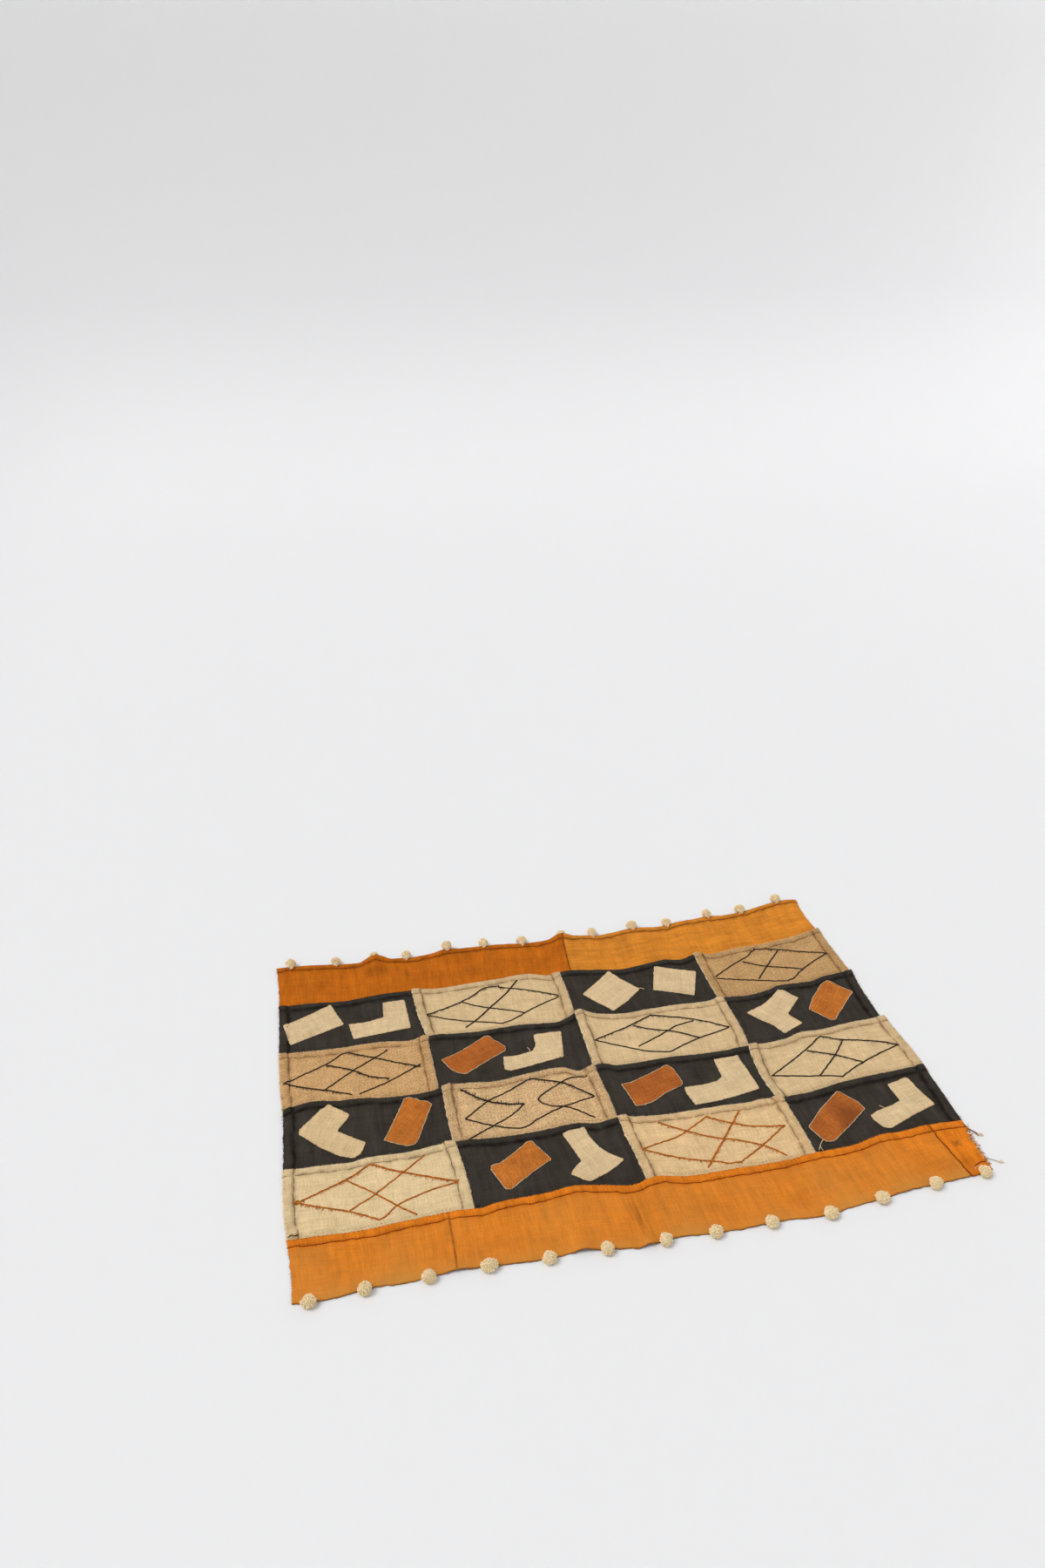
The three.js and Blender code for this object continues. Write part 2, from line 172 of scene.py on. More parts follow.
# a smooth random field, from about -1 to 1
def ripple(u, v, pitch, seed):
    pick = np.random.default_rng(seed)
    total = 0
    for _ in range(7):
        angle, phase = pick.uniform(0, 2 * math.pi, 2)
        wave = pitch * pick.uniform(0.7, 1.5)
        total = total + np.sin((u * math.cos(angle) + v * math.sin(angle)) * 2 * math.pi / wave + phase)
    return total / 3.2


# Soft ridges and troughs: ends, height and half width.
creases = [
    {"start": (431, -10), "end": (434, 62), "height": 1.3, "width": 6},
    {"start": (418, -6), "end": (422, 30), "height": -0.6, "width": 7},
    {"start": (206, 548), "end": (208, 584), "height": 0.9, "width": 4},
    {"start": (150, 572), "end": (212, 566), "height": 1.2, "width": 12},
    {"start": (504, 566), "end": (507, 600), "height": 1.0, "width": 4},
    {"start": (130, 208), "end": (131, 298), "height": 1.1, "width": 3},
    {"start": (279, 90), "end": (280, 150), "height": 0.7, "width": 3},
    {"start": (424, 172), "end": (436, 190), "height": 1.1, "width": 5},
    {"start": (680, 96), "end": (674, 176), "height": 0.7, "width": 4},
    {"start": (250, 300), "end": (330, 290), "height": 0.5, "width": 7},
    {"start": (560, 30), "end": (640, 36), "height": 0.5, "width": 10},
]


def creaseAt(u, v):
    height = 0
    for crease in creases:
        (u0, v0), (u1, v1) = crease["start"], crease["end"]
        length = math.hypot(u1 - u0, v1 - v0)
        along = ((u - u0) * (u1 - u0) + (v - v0) * (v1 - v0)) / length
        aside = ((u - u0) * (v1 - v0) - (v - v0) * (u1 - u0)) / length
        fade = plateau(along, 0, length, 10)
        height = height + crease["height"] * fade * np.exp(-(aside / crease["width"]) ** 2)
    return height


# How far the cloth stands off the floor: its lifted edges, creases and undulations.
def liftAt(u, v):
    lift = 0
    for place in edgeLifts:
        edge = v - lineAt("nearEdge", u) if place["edge"] == "near" else lineAt("farEdge", u) - v
        across = np.clip((u - place["u"]) / place["halfLength"], -1, 1)
        hump = np.cos(across * math.pi / 2) ** 2
        lift = lift + place["height"] * hump * np.clip(1 - edge / place["reach"], 0, 1) ** 1.5
    swell = 0.5 * np.clip(0.6 + ripple(u, v, 90, 1), 0, None) + 0.16 * (1 + ripple(u, v, 26, 2))
    return np.maximum(lift + swell + creaseAt(u, v), 0)


def isNatural(row, column):
    return (row + column) % 2 == 1


def crossReach(own, beyond, seam):
    shift = abs(seamAt(own["seams"][seam], 1) - seamAt(beyond["seams"][seam], 0))
    return shift + cloth["lapWidth"] + 2 * cloth["lapClear"] + cloth["lapFall"]


# How much a row's far strip climbs over the seams of the row beyond it.
def crossingAt(row, u):
    if row == 0:
        return 0 * u
    own, beyond = strips[rowNames[row]], strips[rowNames[row - 1]]
    raised = 0 * u
    for seam in (1, 2, 3):
        at, reach, lap = seamAt(own["seams"][seam], 1), crossReach(own, beyond, seam), cloth["lapWidth"] + 1
        naturalLeft = isNatural(row, seam - 1)
        start, end = at - (lap if naturalLeft else reach), at + (reach if naturalLeft else lap)
        raised = np.maximum(raised, plateau(u, start, end, cloth["lapFall"]))
    return raised


def nearBandCrossing(u):
    raised, covered = 0 * u, cloth["lapWidth"] + 2 * cloth["lapClear"] + cloth["lapFall"]
    for seam in (1, 2, 3):
        at = seamAt(strips["rowFour"]["seams"][seam], 0)
        start, end = (at - covered, at + 1) if isNatural(3, seam - 1) else (at - 1, at + covered)
        raised = np.maximum(raised, plateau(u, start, end, cloth["lapFall"]))
    return raised


def overRow(strip, u, v):
    inside = lineAt(strip["far"], u) - v
    return plateau(inside, 0, cloth["lapWidth"] + cloth["rowClear"], cloth["lapFall"])


# A fold along a side: its row of stitches lies in a groove this far in, and the folded strip
# outside it is thicker and rumpled.
# dirt sets how dark the groove of stitches is made, as dirt and painted shade together
def fold(stitch, puff=0.35, groove=0.5, rumple=0.5, dirt=0.5, seed=0):
    return {"stitch": stitch, "puff": puff, "groove": groove, "rumple": rumple, "dirt": dirt, "seed": seed}


def panelPiece(row, column):
    strip, natural = strips[rowNames[row]], isNatural(row, column)
    seed = 10 * row + column
    folds = {"far": fold(11 if natural else 12, rumple=0.85, dirt=0.45 if natural else 1, seed=seed)}
    folds["near"] = fold(6, puff=0.1, groove=0.12, rumple=0.1, dirt=0.15, seed=seed + 50)
    if natural or column == 0:
        folds["left"] = fold(14, rumple=1.3, dirt=0.6 if natural else 1, seed=seed + 100)
    if natural or column == 3:
        folds["right"] = fold(14, rumple=1.3, dirt=0.6 if natural else 1, seed=seed + 150)
    lap = cloth["lapWidth"]
    under = {"near": lap, "far": 0, "left": 0 if natural or column == 0 else lap,
             "right": 0 if natural or column == 3 else lap}

    def level(u, v):
        q = acrossStrip(strip, u, v)
        neighbour = 0 * u
        if natural and column > 0:
            fromLeft = u - seamAt(strip["seams"][column], q)
            neighbour = plateau(fromLeft, 0, lap + cloth["lapClear"], cloth["lapFall"])
        if natural and column < 3:
            fromRight = seamAt(strip["seams"][column + 1], q) - u
            neighbour = np.maximum(neighbour, plateau(fromRight, 0, lap + cloth["lapClear"], cloth["lapFall"]))
        return cloth["lapStep"] * (overRow(strip, u, v) * (1 + crossingAt(row, u)) + neighbour)

    return {"name": f"panel_{row + 1}_{column + 1}", "strip": strip, "natural": natural, "seed": seed,
            "left": strip["seams"][column], "right": strip["seams"][column + 1], "under": under,
            "folds": folds, "level": level, "hem": None, "joins": []}


def bandPiece(name, stripName, seam, folds, under, inset, seed):
    strip = strips[stripName]

    def level(u, v):
        if stripName == "farBand":
            return 0 * u
        return cloth["lapStep"] * overRow(strip, u, v) * (1 + nearBandCrossing(u))

    left = [u + inset[0] for u in strip["seams"][seam]]
    right = [u - inset[1] for u in strip["seams"][seam + 1]]
    return {"name": name, "strip": strip, "natural": False, "seed": seed, "left": left, "right": right,
            "under": under, "folds": folds, "level": level,
            "hem": "nearEdge" if stripName == "nearBand" else "farEdge",
            "joins": [side for side, gap in zip(("left", "right"), inset) if gap]}


def awayFrom(piece, u, v):
    strip, q = piece["strip"], acrossStrip(piece["strip"], u, v)
    return {"near": v - lineAt(strip["near"], u), "far": lineAt(strip["far"], u) - v,
            "left": u - seamAt(piece["left"], q), "right": seamAt(piece["right"], q) - u}


# the stitches wander a little from their even distance to the edge
def stitchAt(piece, side, along):
    edgeFold = piece["folds"][side]
    drift = 0.8 * ripple(along, 0, 45, edgeFold["seed"])
    return edgeFold["stitch"] + drift + 0.7 * ripple(along, 0, 17, edgeFold["seed"] + 1)


def thicknessOf(piece, u, v):
    thickness = cloth["thickness"] + 0 * u
    if piece["hem"]:
        inside = np.abs(v - lineAt(piece["hem"], u))
        thickness = thickness + cloth["hemExtra"] * plateau(inside, 0, cloth["hemWidth"], cloth["hemFall"])
    away = awayFrom(piece, u, v)
    open = 1 + 0 * u  # not under another piece
    for side, inside in away.items():
        if piece["under"][side]:
            open = open * smooth((inside - 1) / 5)
    for side, edgeFold in piece["folds"].items():
        along, inside = (u if side in ("near", "far") else v), away[side]
        stitch = stitchAt(piece, side, along)
        near = np.abs(inside - stitch)
        thickness = thickness + edgeFold["puff"] * (1 + open) * plateau(inside, 1, stitch - 2.5, 2)
        lumps = 0.6 + 0.4 * ripple(along, inside * 0.6, 15, edgeFold["seed"] + 11)
        lumps = lumps + 0.35 * ripple(along, inside, 8, edgeFold["seed"] + 12)
        lumps = np.clip(lumps, 0, None) * plateau(inside, 2, stitch - 3, 3)
        thickness = thickness + open * edgeFold["rumple"] * lumps
        thickness = thickness - edgeFold["groove"] * (1 + 0.4 * open) * np.exp(-(near / 1.4) ** 2)
        pucker = open * edgeFold["groove"] * ripple(along, inside * 0.4, 11, edgeFold["seed"] + 7)
        thickness = thickness + pucker * np.exp(-near / 6) * 0.8
    for side, inside in away.items():
        if not piece["under"][side]:
            thickness = thickness - cloth["edgeRound"] * np.exp(-np.clip(inside, 0, None) / 0.6)
    return np.maximum(thickness, 0.3)


def bottomOf(piece, u, v):
    return piece["level"](u, v) + liftAt(u, v)


def topOf(piece, u, v):
    return bottomOf(piece, u, v) + thicknessOf(piece, u, v)


firstLow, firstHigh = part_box("near_tuft_1")
tuftReach = {"in": 8, "out": 10}
originX = nearTufts["u"][0] * mm - (firstLow.x + firstHigh.x) / 2
originY = (float(lineAt("nearEdge", nearTufts["u"][0])) + (tuftReach["in"] - tuftReach["out"]) / 2) * mm
originY -= (firstLow.y + firstHigh.y) / 2


# millimetres on the cloth to metres in the frame
def toFrame(u, v, z):
    return np.stack([u * mm - originX, v * mm - originY, z * mm], -1)


# The camera looks down at the cloth from in front of its near edge.
cameraFit = {
    "place": (0.0873, -0.9056, 1.1822),  # metres from the near left corner
    "heading": (0.20655, 0.97844),
    "pitch": 29.416,
    "roll": -0.292,
    "focalPixels": 1318.05,
    "tallPixels": 1800,
    "sensor": 36,
}


def makeCamera():
    pitch, roll = math.radians(cameraFit["pitch"]), math.radians(cameraFit["roll"])
    x, y = cameraFit["heading"]
    forward = np.array([x * math.cos(pitch), y * math.cos(pitch), -math.sin(pitch)])
    flatRight = np.array([y, -x, 0])
    flatUp = np.cross(flatRight, forward)
    right = math.cos(roll) * flatRight + math.sin(roll) * flatUp
    up = math.cos(roll) * flatUp - math.sin(roll) * flatRight
    lens = bpy.data.cameras.new("camera")
    lens.sensor_width = cameraFit["sensor"]
    lens.lens = cameraFit["focalPixels"] / cameraFit["tallPixels"] * cameraFit["sensor"]
    camera = bpy.data.objects.new("camera", lens)
    place = np.array(cameraFit["place"]) - [originX, originY, 0]
    turn = np.eye(4)
    turn[:3, 0], turn[:3, 1], turn[:3, 2], turn[:3, 3] = right, up, -forward, place
    camera.matrix_world = Matrix(turn.tolist())
    bpy.context.scene.collection.objects.link(camera)
    bpy.context.scene.camera = camera


makeCamera()
print("camera made")


class Plug:
    def __init__(self, tree, socket):
        self.tree, self.socket = tree, socket

    def sine(self):
        return self.math("SINE", self, 0)

    def node(self, kind, settings=None, sockets=None, output=0):
        return addNode(self.tree, kind, settings, sockets, output)

    def math(self, operation, first, second):
        return self.node("ShaderNodeMath", {"operation": operation}, {0: first, 1: second})

    def __add__(self, other):
        return self.math("ADD", self, other)

    def __sub__(self, other):
        return self.math("SUBTRACT", self, other)

    def __mul__(self, other):
        return self.math("MULTIPLY", self, other)

    def __rsub__(self, other):
        return self.math("SUBTRACT", other, self)

    __radd__ = __add__
    __rmul__ = __mul__


# Adds a node: its settings come first, then the values or links of its sockets.
def addNode(tree, kind, settings=None, sockets=None, output=0):
    made = tree.nodes.new(kind)
    for name, value in (settings or {}).items():
        if name == "stops":
            for stop, (place, color) in zip(made.color_ramp.elements, value):
                stop.position, stop.color = place, color
        else:
            setattr(made, name, value)
    for name, value in (sockets or {}).items():
        if isinstance(value, Plug):
            tree.links.new(value.socket, made.inputs[name])
        else:
            made.inputs[name].default_value = value
    return Plug(tree, made.outputs[output])


def newFinish(name):
    finish = bpy.data.materials.new(name)
    finish.use_nodes = True
    finish.node_tree.nodes.clear()
    return finish


def closeFinish(tree, color, roughness, normal):
    shader = addNode(tree, "ShaderNodeBsdfPrincipled", None, {
        "Base Color": color, "Roughness": roughness, "Normal": normal, "Specular IOR Level": 0.1})
    out = tree.nodes.new("ShaderNodeOutputMaterial")
    tree.links.new(shader.socket, out.inputs["Surface"])


def linear(color):
    channels = [int(color[i:i + 2], 16) / 255 for i in (1, 3, 5)]
    return [c / 12.92 if c <= 0.04045 else ((c + 0.055) / 1.055) ** 2.4 for c in channels]


# the ends of a color ramp whose middle is the given color, the dark end a little warmer
def around(color, spread):
    deep = [c * (1 - spread) * w for c, w in zip(linear(color), (1.05, 1.0, 0.93))]
    light = [min(1, c * (1 + spread) * w) for c, w in zip(linear(color), (1.0, 1.0, 1.02))]
    return [(0.0, deep + [1]), (1.0, light + [1])]


# Plain woven raffia. Its texture is in the piece's own UV, in metres. dark is where dirt, thread and
# painted shade sit in the seams and creases, with painted shade at the hems' edges and undersides;
# pale where fibres are frayed or the dye has washed out.
def wovenFinish(name, look):
    finish = newFinish(name)
    tree = finish.node_tree
    place = addNode(tree, "ShaderNodeUVMap", {"uv_map": "weave"})
    split = tree.nodes.new("ShaderNodeSeparateXYZ")
    tree.links.new(place.socket, split.inputs[0])
    x, y = Plug(tree, split.outputs[0]) * 1000, Plug(tree, split.outputs[1]) * 1000

    def noise(across, along, detail, seed):
        where = place.node("ShaderNodeCombineXYZ", None, {0: x * across, 1: y * along, 2: seed})
        return place.node("ShaderNodeTexNoise", None, {"Vector": where, "Scale": 1, "Detail": detail})

    def mix(share, first, second):
        return place.node("ShaderNodeMix", {"data_type": "RGBA"}, {
            "Factor": share, 6: first, 7: linear(second) + [1]}, output=2)

    warp, weft = noise(0.85, 0.045, 2, 1.0), noise(0.045, 0.85, 2, 2.0)
    broad, cross = noise(0.12, 0.012, 1, 3.0), noise(0.012, 0.14, 1, 4.0)
    mottle, grain = noise(0.03, 0.03, 3, 5.0), noise(look["fine"], look["fine"], 3, 6.0)
    bend = (grain - 0.5) * 0.9
    half = math.pi / look["pitch"]
    over = ((x + bend) * half).sine() * ((y + bend) * half).sine()
    tone = ((warp - 0.5) * look["warp"] + (weft - 0.5) * look["weft"] + (broad - 0.5) * look["broad"]
            + (cross - 0.5) * look["cross"] + (mottle - 0.5) * look["mottle"] + (grain - 0.5) * look["grain"]
            + over * look["over"] + 0.5)
    color = place.node("ShaderNodeValToRGB", {"stops": around(look["color"], look["spread"])}, {"Fac": tone})
    if look["fleck"]:
        mask = place.node("ShaderNodeMapRange", None, {
            "Value": noise(look["fine"] * 1.2, look["fine"], 2, 7.0), "From Min": 0.56, "From Max": 0.70,
            "To Max": look["fleck"]})
        color = mix(mask, color, look["fleckColor"])
    color = mix(place.node("ShaderNodeAttribute", {"attribute_name": "pale"}, output=2), color, look["washed"])
    # dirt and painted shade: the dark attribute mixes the colour toward the look's darkest colour
    color = mix(place.node("ShaderNodeAttribute", {"attribute_name": "dark"}, output=2), color, look["dirt"])
    height = over * 0.5 + warp * 1.2 + weft * 1.2 + grain * look["nap"]
    normal = place.node("ShaderNodeBump", None, {
        "Strength": look["bump"], "Distance": 0.0005, "Height": height})
    closeFinish(tree, color, 0.95 - warp * 0.2, normal)
    return finish


# each look's dirt colour is what dirt and painted shade in the seams, creases and hems darken to
weaveLook = {
    "pitch": 1.1, "spread": 0.38, "warp": 0.8, "weft": 0.8, "broad": 0.3, "cross": 0.3, "mottle": 0.4,
    "grain": 1.0, "fine": 0.7, "over": 0.12, "fleck": 0.0, "fleckColor": "#9a6434", "bump": 0.6, "nap": 1.3,
    "washed": "#ead9b8", "dirt": "#6e4a28",
}
roughLook = {**weaveLook, "grain": 1.9, "fine": 0.45, "fleck": 0.8, "bump": 1.0, "nap": 3.4}
blackLook = {**weaveLook, "spread": 0.42, "broad": 1.0, "mottle": 0.9, "washed": "#6a5d4c", "dirt": "#0c0a08"}
orangeLook = {**weaveLook, "spread": 0.36, "warp": 1.1, "broad": 0.8, "mottle": 0.8, "washed": "#c58a3e",
              "dirt": "#4a2208"}
brownLook = {**weaveLook, "pitch": 0.9, "warp": 1.2, "weft": 1.4, "mottle": 1.0, "fine": 0.4, "fleck": 0.35,
             "fleckColor": "#7c3614", "washed": "#d0a878", "dirt": "#4e2410"}
finishes = {
    "pale": wovenFinish("raffia_pale", {**weaveLook, "color": "#ddc497"}),
    "cream": wovenFinish("raffia_cream", {**weaveLook, "color": "#d4ba91"}),
    "sand": wovenFinish("raffia_sand", {**weaveLook, "color": "#d4b88c", "fleck": 0.15}),
    "honey": wovenFinish("raffia_honey", {**weaveLook, "color": "#dcbc8c", "grain": 1.2, "fleck": 0.3}),
    "rough": wovenFinish("raffia_rough", {**roughLook, "color": "#d4aa75"}),
    "coarse": wovenFinish("raffia_coarse", {**roughLook, "spread": 0.48, "fleckColor": "#a8602c", "color": "#e2b686"}),
    "tan": wovenFinish("raffia_tan", {**roughLook, "mottle": 0.8, "color": "#c69f6c"}),
    "black": wovenFinish("raffia_black", {**blackLook, "color": "#37322b"}),
    "orange": wovenFinish("raffia_orange", {**orangeLook, "color": "#d8781a"}),
    "amber": wovenFinish("raffia_amber", {**orangeLook, "warp": 0.6, "broad": 0.5, "weft": 1.1, "cross": 0.7,
                                          "color": "#d08229"}),
    # the far band's left half is deeper orange, partly its own dye and partly painted shadow
    "rust": wovenFinish("raffia_rust", {**orangeLook, "color": "#b9630e"}),
    "brown": wovenFinish("raffia_brown", {**brownLook, "color": "#bd6f2b"}),
    "umber": wovenFinish("raffia_umber", {**brownLook, "color": "#af6229"}),
}


# Twisted raffia thread and cut strands. shade is each strand's own lightness, and on a tuft's core a
# # painted shade that darkens the gaps between strands.
def threadFinish(name, deep, light):
    finish = newFinish(name)
    tree = finish.node_tree
    place = addNode(tree, "ShaderNodeTexCoord", output=3)
    grain = place.node("ShaderNodeTexNoise", None, {"Vector": place, "Scale": 900, "Detail": 2})
    shade = place.node("ShaderNodeAttribute", {"attribute_name": "shade"}, output=2)
    stops = [(0.0, linear(deep) + [1]), (1.0, linear(light) + [1])]
    color = place.node("ShaderNodeValToRGB", {"stops": stops}, {"Fac": shade * 0.7 + grain * 0.5 - 0.1})
    normal = place.node("ShaderNodeBump", None, {"Strength": 0.4, "Distance": 0.0003, "Height": grain})
    closeFinish(tree, color, 0.95 - grain * 0.2, normal)
    return finish


threads = {
    "black": threadFinish("thread_black", "#0e0c0a", "#40372e"),
    "orange": threadFinish("thread_orange", "#7e3f0a", "#d07a26"),
    "brown": threadFinish("thread_brown", "#2c1608", "#6a3814"),
    "rust": threadFinish("thread_rust", "#501d05", "#98450b"),
    "seam": threadFinish("thread_seam", "#54381e", "#9a6f42"),
    "grey": threadFinish("thread_grey", "#3a3023", "#7d694c"),
    "tack": threadFinish("thread_tack", "#3a2818", "#805c38"),
    "pale": threadFinish("thread_pale", "#b8966a", "#ecd9b6"),
    "natural": threadFinish("thread_natural", "#b8945f", "#efdcb6"),
    "naturalFibre": threadFinish("fibre_natural", "#c9a777", "#f8ead0"),
    "blackFibre": threadFinish("fibre_black", "#16120e", "#443a30"),
    "orangeFibre": threadFinish("fibre_orange", "#8a4a10", "#e0963e"),
    "red": threadFinish("thread_red", "#3c100a", "#8a3020"),
    "tuft": threadFinish("tuft_strands", "#e6ca98", "#fcefce"),
}
print("finishes made")


def addMesh(name, points, faces, finish, edges=()):
    mesh = bpy.data.meshes.new(name)
    mesh.from_pydata([tuple(p) for p in points], list(edges), faces)
    if finish:
        mesh.materials.append(finish)
    piece = bpy.data.objects.new(name, mesh)
    bpy.context.scene.collection.objects.link(piece)
    return piece


def addAttribute(piece, name, values):
    piece.data.attributes.new(name, "FLOAT", "POINT").data.foreach_set("value", np.asarray(values, np.float32))


def addWeave(piece, places):
    layer = piece.data.uv_layers.new(name="weave")
    corner = np.zeros(len(piece.data.loops), int)
    piece.data.loops.foreach_get("vertex_index", corner)
    layer.data.foreach_set("uv", np.asarray(places, np.float32)[corner].ravel())


def shadeSmooth(piece):
    piece.data.polygons.foreach_set("use_smooth", [True] * len(piece.data.polygons))


# Where a sheet's grid has lines, from one side to the other, as shares of the way and offsets.
def gridPlaces(piece, first, last, length):
    def from_side(side):
        under, spots = piece["under"][side], []
        if under:
            spots = [-under, -under / 2]
        if side in piece["folds"]:
            stitch = piece["folds"][side]["stitch"]
            inner = [stitch + d for d in (-3.6, -1.6, -0.7, 0, 0.7, 1.6, 3.6)]
            outer = [x for x in (0, 0.6, 1.6, 3.4, 6) if x < inner[0] - 0.5]
            return spots + outer + [x for x in inner if x > 0.8]
        return spots + [0, 0.6, 1.8, 4]

    low, high = from_side(first), from_side(last)
    middle = max(2, round((length - low[-1] - high[-1]) / cloth["cell"]))
    shares = [0] * len(low) + [i / middle for i in range(1, middle)] + [1] * len(high)
    offsets = low + [low[-1] * (1 - i / middle) - high[-1] * i / middle for i in range(1, middle)]
    return np.array(shares, float), np.array(offsets + [-x for x in reversed(high)], float)


# The place at a share of the way across a piece and up it, moved on by an offset.
def placeIn(piece, shareU, offsetU, shareV, offsetV):
    strip, q = piece["strip"], 0.5 + 0 * shareU
    for _ in range(6):
        left, right = seamAt(piece["left"], q), seamAt(piece["right"], q)
        u = left + (right - left) * shareU + offsetU
        near, far = lineAt(strip["near"], u), lineAt(strip["far"], u)
        v = near + (far - near) * shareV + offsetV
        q = acrossStrip(strip, u, v)
    return u, v


def makeSheet(piece, finish):
    strip, under = piece["strip"], piece["under"]
    width = piece["right"][1] - piece["left"][1]
    middle = piece["left"][1] + width / 2
    depth = float(lineAt(strip["far"], middle) - lineAt(strip["near"], middle))
    shareU, offsetU = gridPlaces(piece, "left", "right", width)
    shareV, offsetV = gridPlaces(piece, "near", "far", depth)
    shareU, shareV = np.meshgrid(shareU, shareV)
    offsetU, offsetV = np.meshgrid(offsetU, offsetV)
    u, v = placeIn(piece, shareU, offsetU, shareV, offsetV)
    rows, columns = u.shape
    edgeU = np.minimum(offsetU + shareU * 1000, (1 - shareU) * 1000 - offsetU)
    edgeV = np.minimum(offsetV + shareV * 1000, (1 - shareV) * 1000 - offsetV)
    ragged = np.random.default_rng(piece["seed"] + 302).normal(0, 0.3, u.shape)
    ragged = ragged * (0.9 if piece["hem"] else 1.3 if piece["natural"] else 1.7)
    wander = 0.5 * ripple(v, u, 8, piece["seed"] + 300) + 0.35 * ripple(v, u, 14, piece["seed"] + 301) + ragged
    joined = ("left" in piece["joins"]) & (shareU < 0.5) | ("right" in piece["joins"]) & (shareU > 0.5)
    if piece["name"] == "near_band_end":
        wander = wander + (2.1 * ripple(v, 0, 12, 77) + 1.9 * ripple(v, 0, 6, 78)) * plateau(v, 22, 78, 8)
    u = u + np.where(joined, 0, wander) * np.exp(-np.clip(edgeU, 0, None) / 2)
    wander = 0.5 * ripple(u, v, 8, piece["seed"] + 400) + 0.35 * ripple(u, v, 14, piece["seed"] + 401) + ragged
    v = v + wander * np.exp(-np.clip(edgeV, 0, None) / 2)
    low, high = bottomOf(piece, u, v), topOf(piece, u, v)
    points = np.concatenate([toFrame(u, v, low).reshape(-1, 3), toFrame(u, v, high).reshape(-1, 3)])
    count = rows * columns
    index = np.arange(count).reshape(rows, columns)
    a, b, c, d = index[:-1, :-1], index[:-1, 1:], index[1:, 1:], index[1:, :-1]
    bottom = np.stack([a, d, c, b], -1).reshape(-1, 4)
    top = np.stack([a, b, c, d], -1).reshape(-1, 4) + count
    rim = np.concatenate([index[0, :-1], index[:-1, -1], index[-1, :0:-1], index[:0:-1, 0]])
    following = np.roll(rim, -1)
    walls = np.stack([rim, following, following + count, rim + count], -1)
    faces = np.concatenate([bottom, top, walls]).tolist()
    sheet = addMesh(piece["name"] + "_cloth", points, faces, finish)
    shadeSmooth(sheet)
    weave = np.stack([shareU * width + offsetU, shareV * depth + offsetV], -1).reshape(-1, 2) * mm
    weave = weave + np.array([0.31, 0.17]) * piece["seed"]
    addWeave(sheet, np.concatenate([weave, weave]))
    dark, pale = marksOn(piece, u, v)
    # painted shade: the hemmed bands' undersides are dark, so their rims read as shaded
    paintedUnderShade = np.maximum(dark, 0.85 if piece["hem"] else 0)
    addAttribute(sheet, "dark", np.concatenate([paintedUnderShade.ravel(), dark.ravel()]))
    addAttribute(sheet, "pale", np.concatenate([pale.ravel(), pale.ravel()]))
    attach(sheet, "root")
    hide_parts(piece["name"])
    flat = ((width + under["left"] + under["right"]) * mm, (depth + under["near"] + under["far"]) * mm)


# Worn and stained places, and painted shade in creases (the marks at 431, 424, 207 and 504): the middle,
# # half sizes and strength.
stainsAndCreaseShade = [
    {"at": (431, 30), "size": (2.6, 24), "dark": 0.6},
    {"at": (424, 40), "size": (5, 20), "dark": 0.2},
    {"at": (838, 26), "size": (26, 14), "dark": 0.16},
    {"at": (640, 20), "size": (14, 9), "dark": 0.14},
    {"at": (268, 22), "size": (18, 10), "dark": 0.1},
    {"at": (882, 55), "size": (7, 5), "dark": 0.07},
    {"at": (880, 26), "size": (5, 18), "dark": 0.25},
    {"at": (158, 590), "size": (16, 14), "dark": 0.22},
    {"at": (300, 556), "size": (60, 14), "dark": 0.14},
    {"at": (504, 590), "size": (4, 16), "dark": 0.3},
    {"at": (550, 560), "size": (48, 24), "dark": 0.1},
    {"at": (512, 34), "size": (50, 20), "dark": 0.06},
    {"at": (207, 570), "size": (3, 20), "dark": 0.35},
    {"at": (741, 566), "size": (30, 12), "dark": 0.1},
    {"at": (8, 92), "size": (9, 4), "dark": 0.6},
    {"at": (120, 92), "size": (60, 5), "dark": 0.1},
]


